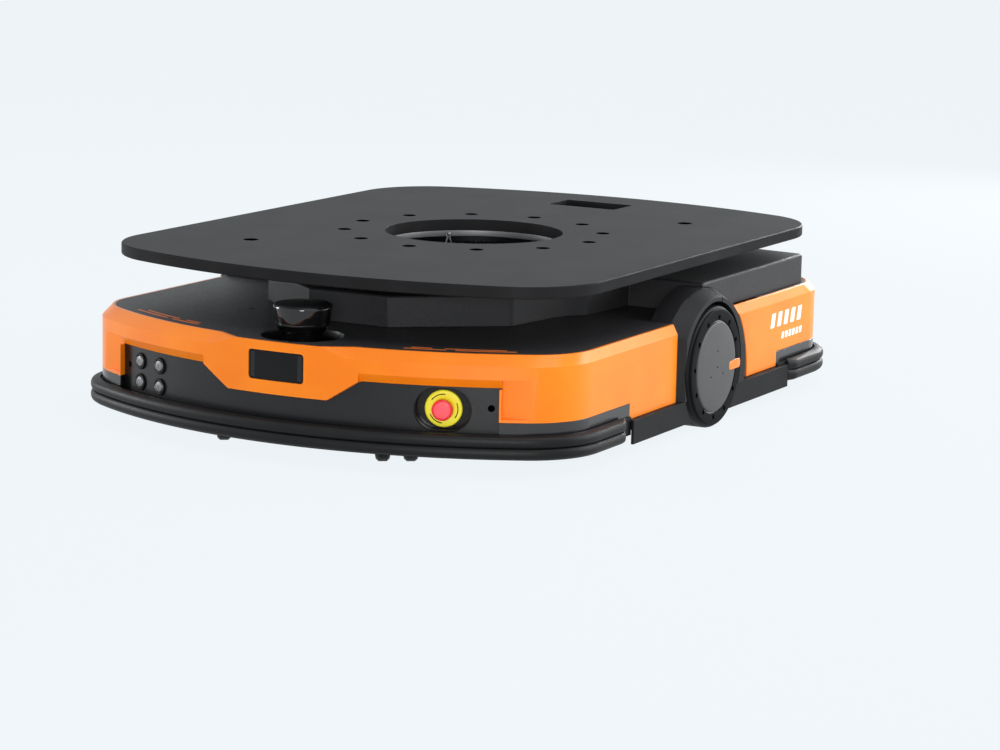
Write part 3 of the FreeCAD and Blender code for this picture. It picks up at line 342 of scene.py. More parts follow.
# ---------------------------------------------------------------- push buttons
# Stainless push buttons: a black anodised flange against the panel, a bright inner ring, and a
# domed cap that moves in on a spring. A nut behind the panel holds each.

panel_inset = 27.0
joint_of_body = {joint["child"]: joint for joint in frame["joints"]}


def lathe(profile, centre, axis, steps=48):
    """Surface of revolution: each (radius, height) of a profile is swept round an axis.

    A point is centre + axis * height + radius * (cos t * side + sin t * up).
    """
    profile = np.array(profile, float)
    axis = np.array(axis, float) / np.linalg.norm(axis)
    side = np.cross(axis, [0, 0, 1.0] if abs(axis[2]) < 0.9 else [1.0, 0, 0])
    side /= np.linalg.norm(side)
    up = np.cross(axis, side)
    turn = np.linspace(0, 2 * np.pi, steps, endpoint=False)
    ring = np.cos(turn)[:, None] * side + np.sin(turn)[:, None] * up
    points = np.array(centre, float) + profile[:, None, 1:] * axis + profile[:, None, :1] * ring
    return points, False, True


def softened(profile, radius, steps=4):
    """Profile with its inner corners rounded.

    Each corner gives way to a quadratic curve between points a radius away along its two runs.
    """
    points = [np.array(p, float) for p in profile]
    curve = [points[0]]
    for a, b, c in zip(points, points[1:], points[2:]):
        r = min(radius, np.linalg.norm(a - b) / 2.2, np.linalg.norm(c - b) / 2.2)
        start = b + (a - b) / np.linalg.norm(a - b) * r
        end = b + (c - b) / np.linalg.norm(c - b) * r
        for t in np.linspace(0, 1, steps):
            curve.append(start * (1 - t) ** 2 + b * 2 * t * (1 - t) + end * t**2)
    return np.array(curve + [points[-1]])


def metal(name, colour, roughness, grain, depth=0.004, stretch=(1, 1, 1)):
    """Bare or plated metal: marks of a size in mm, stretched along the way it was cut.

    The real marks are finer, and are drawn coarser so that they show.
    """
    made, tree, bsdf = material(name, Metallic=1.0)
    place = add(tree, "ShaderNodeTexCoord").outputs["Object"]
    scaled = add(tree, "ShaderNodeMapping", {"Scale": stretch}, Vector=place)
    marks = add(
        tree, "ShaderNodeTexNoise", {"Scale": 1000 / grain, "Detail": 4.0},
        Vector=scaled.outputs["Vector"],
    )
    shade = add(tree, "ShaderNodeValToRGB", Fac=marks.outputs["Fac"])
    shade.color_ramp.elements[0].position = 0.25
    shade.color_ramp.elements[1].position = 0.75
    base = np.array(linear(colour))
    shade.color_ramp.elements[0].color = (*(base[:3] * 0.88).tolist(), 1.0)
    shade.color_ramp.elements[1].color = (*np.minimum(base[:3] * 1.08, 1).tolist(), 1.0)
    tree.links.new(shade.outputs["Color"], bsdf.inputs["Base Color"])
    gloss = add(
        tree, "ShaderNodeMapRange",
        {"From Min": 0.3, "From Max": 0.7, "To Min": roughness * 0.8, "To Max": roughness * 1.25},
        Value=marks.outputs["Fac"],
    )
    tree.links.new(gloss.outputs["Result"], bsdf.inputs["Roughness"])
    relief = add(
        tree, "ShaderNodeBump", {"Strength": 1.0, "Distance": depth * MM}, Height=marks.outputs["Fac"]
    )
    tree.links.new(relief.outputs["Normal"], bsdf.inputs["Normal"])
    return made


# Satin stainless steel: soft grey with a blurred reflection.
stainless = metal("satin_stainless", "#7e7e80", 0.5, grain=1.2)
# Black anodised aluminium: dull, with hardly any shine.
black_anodised = moulded(
    "black_anodised_ring", "#060607", "#0c0c0d", grain=1.5, roughness=0.5, depth=0.01,
    Specular_IOR_Level=0.1,
)
# Profiles are (radius, height over the panel's face).
dome = [(0, 2.5), (1.9, 2.5), (2.2, 3.2), (6.6, 3.1), (7.2, 2.9), (7.6, 2.3), (7.9, -8), (0, -8)]
flange = [(12.0, 0), (12.0, 1.9), (11.4, 2.7), (9.7, 2.8), (9.4, 1.2), (8.3, 1.2), (8.3, -6),
          (12.0, -6), (12.0, 0)]
bright = [(9.6, 1.1), (9.6, 2.5), (9.3, 2.9), (9.0, 2.5), (8.9, 1.1), (9.6, 1.1)]
rings, bezels = [], []
for number in range(1, 5):
    node = f"push_button_{number}"
    inward = np.array(joint_of_body[f"button_{number}"]["axis"], float)
    low, high = [np.array(corner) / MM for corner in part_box(node)]
    middle = (low + high) / 2
    seat = bowed(middle[0], middle[2], panel_inset)
    outward = -inward
    grid_piece(
        f"button_dome_{number}", [lathe(dome, seat, outward)], stainless,
        f"button_{number}", (node,),
    )
    rings.append(lathe(flange, seat, outward))
    bezels.append(lathe(bright, seat, outward))
grid_piece("button_flanges", rings, black_anodised, "chassis", ("button_rings",))
grid_piece("button_bezels", bezels, stainless, "chassis")

# ---------------------------------------------------------------- emergency stop
# A red mushroom head on a switch behind a yellow collar, sunk in an oval black cup so that
# nothing brushes against it. The head is latched in by a push.

# Moulded polycarbonate and ABS in signal colours: bright and even, with a soft shine. The middle of the
# head is a paler red disc, which is a painted highlight.
stop_red = moulded(
    "red_polycarbonate", "#f01f2c", "#fa303c", grain=4.0, roughness=0.34, depth=0.01, spread=0.15,
)
stop_painted_highlight = moulded(
    "red_painted_highlight", "#ff4a56", "#ff5c66", grain=4.0, roughness=0.5, depth=0.01, spread=0.15,
)
stop_yellow = moulded(
    "yellow_abs", "#fff01a", "#fff53a", grain=3.0, roughness=0.4, depth=0.01, spread=0.15,
)
# Glossy black ABS: a dark hollow with a few sharp glints.
cup_black = moulded(
    "black_cup_abs", "#0a0707", "#120d0b", grain=2.0, roughness=0.2, depth=0.01,
    Specular_IOR_Level=0.3,
)
inward = np.array(joint_of_body["emergency_stop"]["axis"], float)
stop_low, stop_high = [np.array(corner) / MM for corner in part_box("stop_collar")]
stop_x, stop_z = -inward[0] * (end_radius - panel_inset), (stop_low[2] + stop_high[2]) / 2
seat = bowed(np.array(stop_x), np.array(stop_z), panel_inset)
outward = -inward
head = softened([(0, 6), (11.2, 5.9), (12.4, 5.5), (14.3, 4.8), (14.5, -1), (13.5, -4.5),
                 (10.9, -5), (10.9, -18), (0, -18)], 1.4)
grid_piece(
    "stop_head", [lathe(head, seat, outward, 72)], stop_red,
    "emergency_stop", ("stop_button",),
)
# A thin paler red disc on the head's face: a painted highlight.
highlight_disc = [(0, 6.35), (9.5, 6.3), (10.9, 6.1), (11.0, 5.7), (0, 5.7)]
grid_piece(
    "stop_head_painted_highlight", [lathe(highlight_disc, seat, outward, 64)], stop_painted_highlight,
    "emergency_stop",
)
collar = softened([(11.4, -14.9), (11.4, -11), (15.5, -9.9), (24.5, -9.9), (25.9, -11.2),
                   (25.9, -14.9), (11.4, -14.9)], 0.9)
grid_piece(
    "stop_ring", [lathe(collar, seat, outward, 72)], stop_yellow,
    "chassis", ("stop_collar",),
)
# Three plain arcs are printed on the collar, just over its face.
mark_sweep, mark_height = 62, -9.8
mark_radii = np.array([19.2, 20.6])
turn_marks = []
side = np.cross(outward, [0, 0, 1.0])
for start in (35, 155, 275):
    angle = np.radians(np.linspace(start, start + mark_sweep, 14))
    points = seat + outward * mark_height + mark_radii[:, None, None] * (
        np.cos(angle)[:, None] * side + np.sin(angle)[:, None] * np.array([0, 0, 1.0])
    )
    turn_marks.append((points, False, False))
grid_piece("stop_ring_marks", turn_marks, black_anodised, "chassis")
carry("stop_housing", cup_black, edge=0.7)

# ---------------------------------------------------------------- decks and upper cover
# The low decks and the stepped cover over the lifting gear are black ABS with a coarse spark-
# eroded grain, screwed to the frame's posts from below.

# Coarse-grained ABS: speckled black that scatters the light into a dull sheen.
grained_black = moulded(
    "coarse_grained_abs", "#09090a", "#29292b", grain=3.4, roughness=0.5, depth=0.3, spread=0.95,
    IOR=1.45, Specular_IOR_Level=0.3,
)
for node in ("front_deck", "rear_deck"):
    carry(node, grained_black, edge=0.6)
carry("upper_cover", grained_black, edge=1.4, crease=18.0)

# ---------------------------------------------------------------- wheel arches
# Each arch is two black ABS mouldings with a smooth satin outside that tapers to a narrow lip
# round the wheel. They are split by an upright seam behind the axle, open enough to read as a line.

# Satin ABS: an even black with a low, wide sheen.
arch_black = moulded(
    "satin_black_abs", "#161617", "#212123", grain=3.0, roughness=0.55, depth=0.05, spread=0.5,
    IOR=1.45, Specular_IOR_Level=0.2,
)
seam_opening = 1.3
for side_name in ("right", "left"):
    carry(f"{side_name}_front_fender", arch_black, edge=0.9)
    skin = carry(f"{side_name}_rear_fender", arch_black, edge=0.9).data
    corners = np.empty(len(skin.vertices) * 3)
    skin.vertices.foreach_get("co", corners)
    seam_face = corners[1::3] < corners[1::3].min() + 0.02 * MM
    corners[1::3][seam_face] += seam_opening * MM
    skin.vertices.foreach_set("co", corners)

# ---------------------------------------------------------------- lidar
# A laser scanner whose window is a smooth bowl of black polycarbonate that only the beam sees
# through, under a flat cap. A polished cone, necked at its foot, is bolted down in a dished deck.

window_low, window_high = [np.array(corner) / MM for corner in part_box("lidar_window")]
lidar_centre = ((window_low[0] + window_high[0]) / 2, (window_low[1] + window_high[1]) / 2, 0)
upward = (0, 0, 1)
lidar_r = (window_high[0] - window_low[0]) / 2
top, base = window_high[2], window_low[2]
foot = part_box("lidar_base")[0].z / MM
joint_r, neck_r, foot_r = 37.8, 26.0, 34.0
cap_depth = 2.4
dish_skin = 0.4
# Polished polycarbonate: black glass with sharp reflections.
gloss_black = moulded(
    "black_polycarbonate", "#050506", "#0a0a0c", grain=40.0, roughness=0.07, depth=0.0, spread=0.1,
    IOR=1.55,
)
# Fine-textured ABS: black without a sharp reflection.
satin_cap = moulded(
    "satin_black_cap", "#080809", "#101011", grain=2.0, roughness=0.4, depth=0.02,
    Specular_IOR_Level=0.15,
)
window = softened([(0, base), (joint_r, base), (38.2, base + 2), (39.9, base + 10),
                   (lidar_r - 0.2, top - 7), (lidar_r, top - 4.6), (lidar_r - 0.6, top - cap_depth),
                   (0, top - cap_depth)], 0.8)
grid_piece(
    "lidar_glass", [lathe(window, lidar_centre, upward, 96)], gloss_black,
    "chassis", ("lidar_window",),
)
cap = softened([(0, top - cap_depth), (lidar_r - 1.2, top - cap_depth), (lidar_r - 1.0, top - 1.5),
                (lidar_r - 2.8, top - 0.1), (0, top)], 0.7)
grid_piece("lidar_cap", [lathe(cap, lidar_centre, upward, 96)], satin_cap, "chassis")
cone = softened([(0, foot), (foot_r, foot), (34.2, foot + 1.8), (26.5, foot + 3.4),
                 (neck_r, foot + 9), (28.5, foot + 16), (33.8, base - 10), (37, base - 4),
                 (joint_r, base), (0, base)], 1.0)
grid_piece(
    "lidar_cone", [lathe(cone, lidar_centre, upward, 96)], gloss_black,
    "chassis", ("lidar_base",),
)
# A thin liner in a darker black covers the deck's dish. It is painted shade over the dish's lit far wall.
dish = np.array([(57.7, deck_z - 0.3), (57.0, deck_z - 3.5), (52, foot + 1.8), (44, foot + 0.9),
                 (35, foot + 0.7)])
dish = np.vstack([dish, (dish - [0, dish_skin])[::-1], dish[:1]])
grid_piece("lidar_dish_shade", [lathe(dish, lidar_centre, upward, 96)], satin_cap, "chassis")

# ---------------------------------------------------------------- bumpers
# A hollow rubber extrusion with two rounded ribs, bent round the body's end and pushed onto the
# frame's rail. A switch strip inside it stops the machine on contact.


def end_path(sign, first_y, straight=20, corner_steps=22, arc_steps=70):
    """Path of one end in plan: straight side, corner arc, bow, corner arc, straight side.

    The corner's centre is where its arc touches both the side and the bow. Half the path is
    worked out and mirrored. Returns the points (x, y) and their outward unit normals.
    """
    edge_x = cad_box[1][0] / MM
    corner = 121.0
    corner_x = edge_x - corner
    reach = end_radius - corner
    corner_y = -math.sqrt(reach**2 - corner_x**2)
    tilt = math.atan2(-corner_y, corner_x)
    line_y = np.linspace(-first_y, arc_y + corner_y, straight, endpoint=False)
    turn = np.linspace(0, tilt, corner_steps, endpoint=False)
    bow = np.linspace(tilt, math.pi / 2, arc_steps // 2 + 1)
    xy = [np.stack([np.full_like(line_y, edge_x), line_y], -1),
          np.stack([corner_x + corner * np.cos(turn), arc_y + corner_y - corner * np.sin(turn)], -1),
          np.stack([end_radius * np.cos(bow), arc_y - end_radius * np.sin(bow)], -1)]
    normal = [np.tile([1.0, 0.0], (straight, 1)), np.stack([np.cos(turn), -np.sin(turn)], -1),
              np.stack([np.cos(bow), -np.sin(bow)], -1)]
    half, out = np.vstack(xy), np.vstack(normal)
    both = np.vstack([half, (half * [-1, 1])[-2::-1]])
    outs = np.vstack([out, (out * [-1, 1])[-2::-1]])
    return both * [1, -sign], outs * [1, -sign]


def bumper_section():
    """Section of the rubber as (depth from its outer face, height).

    Each rib is half an ellipse. A groove parts them, and the back is flat.
    """
    low, high = [corner.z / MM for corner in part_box("front_bumper")]
    middle = (low + high) / 2
    turn = np.linspace(-math.pi / 2, math.pi / 2, 14)
    depth = rib_depth - rib_depth * np.cos(turn)
    lower_z = (low + 1 + middle) / 2 + (middle - low - 1.5) / 2 * np.sin(turn)
    upper_z = (middle + high - 1) / 2 + (high - middle - 1.5) / 2 * np.sin(turn)
    start = [[rubber_depth, low], [5.5, low]]
    groove = [[6.4, middle - 0.3], [6.4, middle + 0.3]]
    end = [[7.0, high], [rubber_depth, high]]
    ribs = np.stack([depth, lower_z], -1), np.stack([depth, upper_z], -1)
    return np.vstack([start, ribs[0], groove, ribs[1], end])


rib_depth, rubber_depth = 4.6, 13.8
tuck_depth, tuck_length = 8.0, 15
# Extruded rubber: soft black, with a dim highlight along each rib.
bumper_rubber = moulded(
    "extruded_black_rubber", "#0b0b0c", "#131314", grain=2.5, roughness=0.5, depth=0.03, spread=0.4,
    IOR=1.45, Specular_IOR_Level=0.25,
)
section = bumper_section()
first_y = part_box("rear_bumper")[0].y / MM
for node, sign in (("front_bumper", 1), ("rear_bumper", -1)):
    path, outs = end_path(sign, first_y)
    # Along each straight side's last stretch the outer face tucks in, and the back stays.
    on_side = np.abs(outs[:, 0]) >= 0.999
    to_end = np.abs(np.abs(path[:, 1]) - first_y)
    tuck = tuck_depth * (np.clip(1 - to_end / tuck_length, 0, 1) * on_side)[:, None]
    depth = section[None, :, 0] + tuck * (1 - section[None, :, 0] / rubber_depth)
    xy = path[:, None, :] - outs[:, None, :] * depth[..., None]
    z = np.broadcast_to(section[None, :, 1:], (*xy.shape[:2], 1))
    skin = np.concatenate([xy, z], axis=-1)
    ends = [np.stack([skin[i], np.broadcast_to(skin[i].mean(0), skin[i].shape)]) for i in (0, -1)]
    grids = [(skin, False, True)] + [(cap_grid, False, True) for cap_grid in ends]
    grid_piece(f"{node}_rubber", grids, bumper_rubber, "chassis", (node,))

# ---------------------------------------------------------------- trims, skirts and frame
# Glossy black strips close the gap over the bumpers. Folded steel skirts hang from the frame,
# which is welded from folded sheet, and both are powder coated black.

# Gloss-moulded ABS: dark, with a sharp pale reflection where it faces the light.
trim_black = moulded(
    "glossy_black_strip", "#1c1c1e", "#262628", grain=3.0, roughness=0.16, depth=0.004, spread=0.3,
    IOR=1.6,
)
# Powder coat: flat black with hardly any shine.
skirt_black = moulded(
    "powder_coated_steel", "#0f0f10", "#161617", grain=2.0, roughness=0.6, depth=0.04, spread=0.4,
    Specular_IOR_Level=0.15,
)
for node in ("front_trim", "rear_trim"):
    carry(node, trim_black, edge=0.4)
for node in ("right_skirts", "left_skirts", "chassis_frame"):
    carry(node, skirt_black, edge=0.5)

# ---------------------------------------------------------------- drive wheels
# A polyurethane tyre is bonded to a cast hub on the gearmotor's axle. A black clamping ring with
# twelve socket screws holds a grey cap, which four small pins locate, and carries an orange tag.

# Cast polyurethane: dull black.
tyre_black = moulded(
    "black_polyurethane", "#080809", "#0f0f10", grain=2.0, roughness=0.55, depth=0.06, spread=0.5,
    Specular_IOR_Level=0.15,
)
# Satin paint: an even mid grey with a soft sheen.
cap_grey = moulded(
    "satin_grey_paint", "#424243", "#4b4b4c", grain=3.5, roughness=0.5, depth=0.015, spread=0.2,
    IOR=1.5, Specular_IOR_Level=0.3,
)
# Matt paint: flat near-black, so the painted shade of the screws' sockets still reads.
ring_black = moulded(
    "black_ring_paint", "#0d0d0e", "#131314", grain=2.5, roughness=0.55, depth=0.02, spread=0.3,
    Specular_IOR_Level=0.05,
)
# Painted shade: the inside of a small hole, drawn as a flat near-black that throws almost no light back.
hole_shade_black = moulded(
    "painted_hole_shade", "#030303", "#060606", grain=2.0, roughness=0.9, depth=0.0,
    Specular_IOR_Level=0.0,
)
# Cast aluminium: pale and slightly rough, with a blurred reflection.
cast_alloy = metal("cast_alloy", "#9a9a9c", 0.45, grain=2.0, depth=0.03)
# Dipped enamel: black with a soft shine.
motor_black = moulded(
    "black_motor_enamel", "#161618", "#222225", grain=2.5, roughness=0.4, depth=0.04,
)
# Moulded ABS in the shells' orange, a little redder.
tag_orange = moulded(
    "orange_tag_plastic", "#ee720c", "#fb861c", grain=2.0, roughness=0.4, depth=0.01, spread=0.15,
)
cap_r, ring_inner_r, ring_outer_r = 66.9, 68.6, 86.5
screw_circle, screw_count, screw_phase = 73.5, 12, 86
pin_circle = 24
groove_inset = 14
tag_y, tag_z, tag_rise = 62.0, -4.5, 4.4
for side_name, sign in (("right", 1), ("left", -1)):
    body = f"{side_name}_wheel"
    low, high = [np.array(corner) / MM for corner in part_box(f"{side_name}_tyre")]
    radius = (high[2] - low[2]) / 2
    axle = np.array([0.0, (low[1] + high[1]) / 2, (low[2] + high[2]) / 2])
    inner_x, outer_x = sorted((abs(low[0]), abs(high[0])))
    axis = (sign, 0, 0)
    tread = [(radius - 14.2, inner_x), (radius - 5, inner_x), (radius - 1.2, inner_x + 2),
             (radius, inner_x + 6)]
    for groove in (inner_x + groove_inset, outer_x - groove_inset):
        tread += [(radius, groove - 1.3), (radius - 1.8, groove - 0.9),
                  (radius - 1.8, groove + 0.9), (radius, groove + 1.3)]
    tread += [(radius, outer_x - 6), (radius - 1.2, outer_x - 2), (radius - 4.4, outer_x),
              (radius - 14.2, outer_x)]
    tread.append(tread[0])
    grid_piece(
        f"{side_name}_tyre_skin", [lathe(softened(tread, 0.8), axle, axis, 144)], tyre_black,
        body, (f"{side_name}_tyre",),
    )
    face_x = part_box(f"{side_name}_hub_cap")[1 if sign > 0 else 0].x / MM * sign
    ring = softened([(ring_inner_r, outer_x + 0.2), (ring_inner_r, outer_x + 2.2),
                     (70.2, outer_x + 2.9), (84, outer_x + 2.9), (ring_outer_r, outer_x + 1.4),
                     (ring_outer_r, outer_x + 0.2), (ring_inner_r, outer_x + 0.2)], 0.7)
    grid_piece(
        f"{side_name}_ring_skin", [lathe(ring, axle, axis, 144)], ring_black,
        body, (f"{side_name}_clamp_ring",),
    )
    cap = softened([(0, face_x), (50, face_x - 0.25), (64.5, face_x - 0.9), (66.6, face_x - 1.8),
                    (cap_r, outer_x + 0.2), (0, outer_x + 0.2)], 0.9)
    grid_piece(
        f"{side_name}_cap_skin", [lathe(cap, axle, axis, 144)], cap_grey,
        body, (f"{side_name}_hub_cap",),
    )
    # The screws' sockets and the four pins are flat discs in painted shade, lying on the ring and on the cap.
    socket = [(0, outer_x + 3.05), (3.4, outer_x + 3.05), (3.9, outer_x + 2.8), (3.9, outer_x + 1)]
    outer_pin = [(0, face_x - 0.02), (1.5, face_x - 0.05), (1.6, face_x - 1)]
    middle_pin = [(0, face_x + 0.02), (1.5, face_x), (1.6, face_x - 1)]
    sockets = []
    for k in range(screw_count):
        angle = math.radians(screw_phase - 360 / screw_count * k)
        place = axle + screw_circle * np.array([0, math.cos(angle), math.sin(angle)])
        sockets.append(lathe(socket, place, axis, 20))
    for k in range(3):
        angle = math.radians(90 + 120 * k)
        place = axle + pin_circle * np.array([0, math.cos(angle), math.sin(angle)])
        sockets.append(lathe(outer_pin, place, axis, 16))
    sockets.append(lathe(middle_pin, axle, axis, 16))
    grid_piece(f"{side_name}_socket_shade", sockets, hole_shade_black, body)
    tag = rounded_rectangle(20.0, 6.8, 5.0, 8)
    layers = []
    for share, step in ((1.0, -3.0), (1.0, -0.5), (0.95, 0.0), (0.0, 0.0)):
        y = axle[1] + tag_y + tag[:, 0] * share
        z = axle[2] + tag_z + tag[:, 1] * share
        layers.append(np.stack([np.full_like(y, sign * (outer_x + tag_rise + step)), y, z], -1))
    grid_piece(
        f"{side_name}_ring_tag", [(np.stack(layers), False, True)], tag_orange, body,
    )
    carry(f"{side_name}_hub", cast_alloy, edge=0.5)
    carry(f"{side_name}_gearmotor", motor_black, edge=0.8)

# ---------------------------------------------------------------- casters
# Twin black polyurethane rollers turn on a pin through a zinc-plated fork. The fork's stem turns
# in the frame, 20 mm off the pin, so that the caster trails.

# Zinc plate: pale bluish grey with a blurred reflection.
zinc = metal("zinc_plate", "#a9abb0", 0.35, grain=3.0, depth=0.01)
# Moulded polyurethane: black with a soft shine.
roller_black = moulded(
    "black_roller_polyurethane", "#0b0b0c", "#141415", grain=2.0, roughness=0.5, depth=0.04,
    Specular_IOR_Level=0.15,
)
# A roller lies on each side of the fork, between these distances from its middle.
roller_width = 20.0
near = 9.5
far = near + roller_width
for end_name in ("front", "rear"):
    for side_name in ("left", "right"):
        name = f"{end_name}_{side_name}_caster"
        carry(f"{name}_fork", zinc, edge=0.8)
        low, high = [np.array(corner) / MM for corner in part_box(f"{name}_wheels")]
        radius = (high[2] - low[2]) / 2
        middle = (low + high) / 2
        roll_axis = np.array(joint_of_body[f"{name}_roller"]["axis"], float)
        profile = softened([
            (4.2, near), (12, near), (13, near + 1.2), (radius - 6.5, near + 1.2), (radius - 6, near),
            (radius - 3.4, near + 0.6), (radius, near + 4.4), (radius, far - 4.4),
            (radius - 3.4, far - 0.6), (radius - 6, far), (radius - 6.5, far - 1.2),
            (13, far - 1.2), (12, far), (4.2, far), (4.2, near),
        ], 0.6)
        rollers = [lathe(profile, middle, sign * roll_axis, 64) for sign in (-1, 1)]
        grid_piece(
            f"{name}_rollers", rollers, roller_black,
            f"{name}_roller", (f"{name}_wheels",),
        )

# ---------------------------------------------------------------- lifting and turning gear
# Lever shafts lift a cast carriage on ground steel posts. The carriage's black-oxided race carries
# the ring gear that turns the plate, and a bright lip and a grease nipple show in its bore.

# Ground steel: bright, its fine marks drawn out along the posts.
ground_steel = metal("ground_steel", "#939497", 0.3, grain=1.5, depth=0.003, stretch=(1, 1, 8))
# Black oxide: near black that keeps a metal's shine.
black_oxide = metal("black_oxide_steel", "#2a2a2c", 0.35, grain=2.0, depth=0.005)
for node in ("guide_posts", "front_lift_shaft", "rear_lift_shaft"):
    carry(node, ground_steel, edge=0.3)
for node in ("slew_outer_race", "slew_ring_gear", "slew_pinion"):
    carry(node, black_oxide, edge=0.3)
lip_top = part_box("platform_plate")[0].z / MM
lip_inner_r, lip_outer_r = 134.6, 159
lip = softened([(lip_outer_r, lip_top - 0.2), (lip_inner_r, lip_top - 0.2), (lip_inner_r, lip_top - 9),
                (137, lip_top - 10), (141, lip_top - 6), (lip_outer_r, lip_top - 3),
                (lip_outer_r, lip_top - 0.2)], 0.8)
grid_piece(
    "ring_gear_lip", [lathe(lip, (0, 0, 0), upward, 128)], stainless, "platform",
)
nipple_base = np.array([-97.0, 93.5, lip_top - 8.5])
toward = np.array([0.62, -0.6, 0.5])
nipple = softened([(0, -2), (4.2, -2), (4.2, 2.5), (2.3, 3.4), (2.1, 5.2), (3.1, 6.4), (3.1, 8.2),
                   (1.8, 9.8), (0, 10)], 0.6)
leg = [(0, 0), (1.5, 0), (1.5, 17), (0, 17)]
parts = [lathe(nipple, nipple_base, toward, 28)]
for lean in (-0.25, 0.25):
    parts.append(lathe(leg, nipple_base + toward * 4, (lean, lean, -1.0), 16))
grid_piece("grease_nipple", parts, stainless, "platform")
for node in ("lift_carriage", "lift_bearing_blocks"):
    carry(node, cast_alloy, edge=0.6)
for node in ("lift_gearmotor", "slew_gearmotor"):
    carry(node, motor_black, edge=0.8)

# ---------------------------------------------------------------- battery and controls
# Sheet-steel boxes with folded edges, coated grey and strapped to the tray.

# Coated sheet: mid grey with a soft sheen.
box_grey = moulded("grey_coated_steel", "#55575a", "#636568", grain=2.0, roughness=0.5, depth=0.03)
for node in ("battery_pack", "control_box"):
    carry(node, box_grey, edge=2.0)

# ---------------------------------------------------------------- load platform
# A 17 mm aluminium plate, milled, with broken edges and a fine-textured dark powder coat. It is
# bolted to the inner race through its ring of holes.

# Fine-textured powder coat: dark grey, and shiny only at a low angle.
plate_coat = moulded(
    "textured_powder_coat", "#1c1c1d", "#262627", grain=1.6, roughness=0.45, depth=0.02,
    spread=0.35, IOR=1.45, Specular_IOR_Level=0.04,
)
carry("platform_plate", plate_coat, edge=0.5)

# Flanged sleeves line its twelve bolt holes and two corner pin holes, as dark as the holes: painted shade, which
# the flanges carry onto the top round each hole.
plate_low, plate_high = [corner.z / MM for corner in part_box("platform_plate")]
bolt_circle, bolt_count, bolt_hole_r = 195, 12, 8.0
pin_x, pin_y, pin_hole_r = 221, 277, 9.0
flange_width = 2.2
bolt_angles = [2 * math.pi / bolt_count * k for k in range(bolt_count)]
holes = [(bolt_circle * math.cos(a), bolt_circle * math.sin(a), bolt_hole_r) for a in bolt_angles]
holes += [(pin_x * sign, pin_y * sign, pin_hole_r) for sign in (-1, 1)]
bottom = plate_low - plate_high + 0.3
hole_shades = []
for x, y, radius in holes:
    sleeve = [(radius + flange_width, -0.2), (radius + flange_width, 0.1), (radius - 0.1, 0.15),
              (radius - 0.25, -0.4), (radius - 0.25, bottom), (radius + 0.1, bottom)]
    hole_shades.append(lathe(sleeve, (x, y, plate_high), upward, 28))
grid_piece("platform_hole_shade", hole_shades, hole_shade_black, "platform")

# ---------------------------------------------------------------- floor, light and camera
# A pale seamless floor and surround under five soft studio lamps. The camera and shiny or clear
# pieces see both as one flat backdrop, and soft light meets a plain floor and a dimmer surround.

backdrop = linear("#f1f7fa")
backdrop_share = 0.95
floor_half = 30


def sees_backdrop(tree):
    """Socket that is 1 for rays from the camera, a shine or through glass, and 0 for soft light."""
    path = add(tree, "ShaderNodeLightPath")
    direct = add(tree, "ShaderNodeMath", {"operation": "MAXIMUM"})
    tree.links.new(path.outputs["Is Camera Ray"], direct.inputs[0])
    tree.links.new(path.outputs["Is Glossy Ray"], direct.inputs[1])
    either = add(tree, "ShaderNodeMath", {"operation": "MAXIMUM"})
    tree.links.new(direct.outputs["Value"], either.inputs[0])
    tree.links.new(path.outputs["Is Transmission Ray"], either.inputs[1])
    return either.outputs["Value"]


floor_mesh = bpy.data.meshes.new("floor")
floor_corners = [(floor_half * x, floor_half * y, 0) for x, y in ((-1, -1), (1, -1), (1, 1), (-1, 1))]
floor_mesh.from_pydata(floor_corners, [], [(0, 1, 2, 3)])
floor = bpy.data.objects.new("floor", floor_mesh)
bpy.context.scene.collection.objects.link(floor)
floor_paint = bpy.data.materials.new("seamless_floor")
floor_paint.use_nodes = True
tree = floor_paint.node_tree
tree.nodes.clear()
shown = add(tree, "ShaderNodeEmission", {"Color": backdrop, "Strength": 1.0})
lit = add(tree, "ShaderNodeBsdfDiffuse", {"Color": linear("#dfe3e5")})
share = add(tree, "ShaderNodeMath", {"operation": "MULTIPLY", 1: backdrop_share})
tree.links.new(sees_backdrop(tree), share.inputs[0])
blend = add(tree, "ShaderNodeMixShader", Fac=share.outputs["Value"])
tree.links.new(lit.outputs["BSDF"], blend.inputs[1])
tree.links.new(shown.outputs["Emission"], blend.inputs[2])
add(tree, "ShaderNodeOutputMaterial", Surface=blend.outputs["Shader"])
floor_mesh.materials.append(floor_paint)

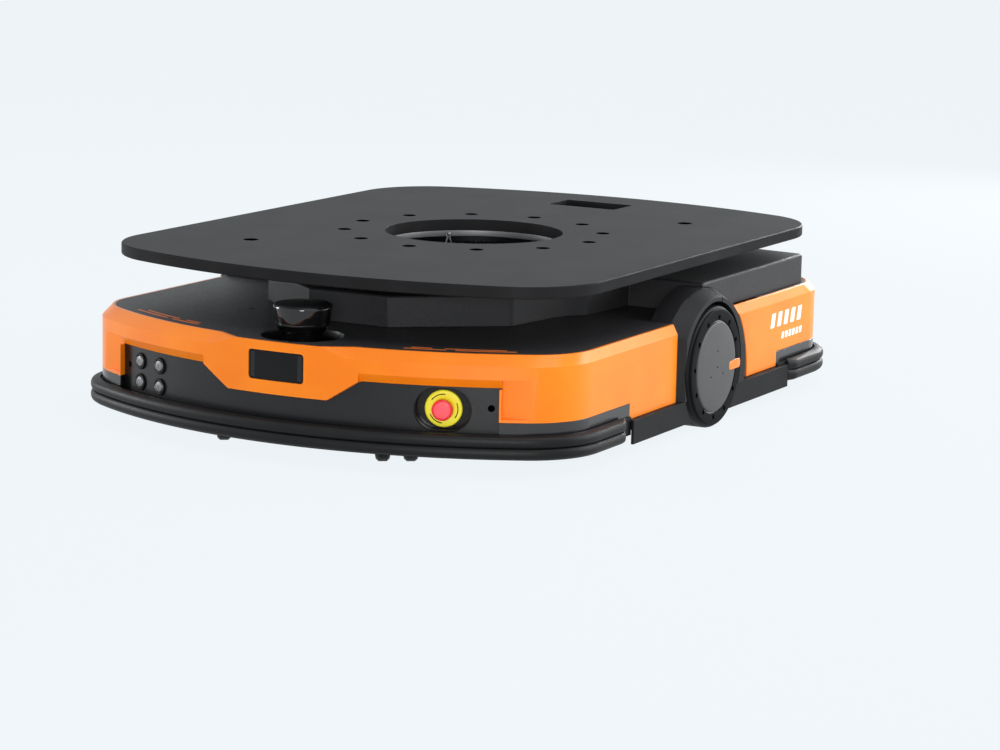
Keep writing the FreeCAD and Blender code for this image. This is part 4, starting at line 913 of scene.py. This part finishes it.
world = bpy.data.worlds.new("studio")
bpy.context.scene.world = world
world.use_nodes = True
tree = world.node_tree
tree.nodes.clear()
pale = add(tree, "ShaderNodeBackground", {"Color": backdrop, "Strength": 1.0})
soft = add(tree, "ShaderNodeBackground", {"Color": (0.95, 0.97, 1.0, 1.0), "Strength": 0.36})
blend = add(tree, "ShaderNodeMixShader", Fac=sees_backdrop(tree))
tree.links.new(soft.outputs["Background"], blend.inputs[1])
tree.links.new(pale.outputs["Background"], blend.inputs[2])
add(tree, "ShaderNodeOutputWorld", Surface=blend.outputs["Shader"])


def softbox(name, place, aim, size, watts):
    """Rectangular area lamp at a place in metres, turned to face a point."""
    lamp = bpy.data.lights.new(name, "AREA")
    lamp.shape = "RECTANGLE"
    lamp.size, lamp.size_y = size
    lamp.energy = watts
    holder = bpy.data.objects.new(name, lamp)
    bpy.context.scene.collection.objects.link(holder)
    holder.location = place
    holder.rotation_euler = (Vector(aim) - Vector(place)).to_track_quat("-Z", "Y").to_euler()


softbox("right_rear_softbox", (2.6, 1.7, 1.2), (0.2, 0.0, 0.15), (2.0, 2.0), 74)
softbox("rear_softbox", (0.3, 3.2, 1.0), (0.2, 0.0, 0.25), (1.2, 0.9), 60)
softbox("left_softbox", (-3.2, -0.9, 0.6), (-0.2, -0.4, 0.12), (0.9, 0.8), 42)
softbox("front_softbox", (2.3, -4.8, 0.8), (0.1, -0.4, 0.12), (1.3, 1.1), 110)
softbox("overhead_softbox", (1.4, -0.6, 3.1), (0.1, 0.0, 0.2), (2.2, 2.2), 42)

azimuth, elevation, roll = [math.radians(angle) for angle in (28.229, 10.361, 1.206)]
distance = 4.71586
back = Vector((
    math.sin(azimuth) * math.cos(elevation),
    -math.cos(azimuth) * math.cos(elevation),
    math.sin(elevation),
))
level = (-back).cross(Vector((0, 0, 1))).normalized()
above = level.cross(-back)
across = level * math.cos(roll) + above * math.sin(roll)
upright = above * math.cos(roll) - level * math.sin(roll)
camera_data = bpy.data.cameras.new("camera")
camera_data.sensor_width = 36.0
camera_data.lens = 116.945
camera = bpy.data.objects.new("camera", camera_data)
bpy.context.scene.collection.objects.link(camera)
aim = Vector((0.14531, -0.17767, 0.07728))
place = aim + back * distance
camera.matrix_world = Matrix((
    (across.x, upright.x, back.x, place.x),
    (across.y, upright.y, back.y, place.y),
    (across.z, upright.z, back.z, place.z),
    (0, 0, 0, 1),
))
bpy.context.scene.camera = camera
bpy.context.scene.view_settings.view_transform = "Standard"
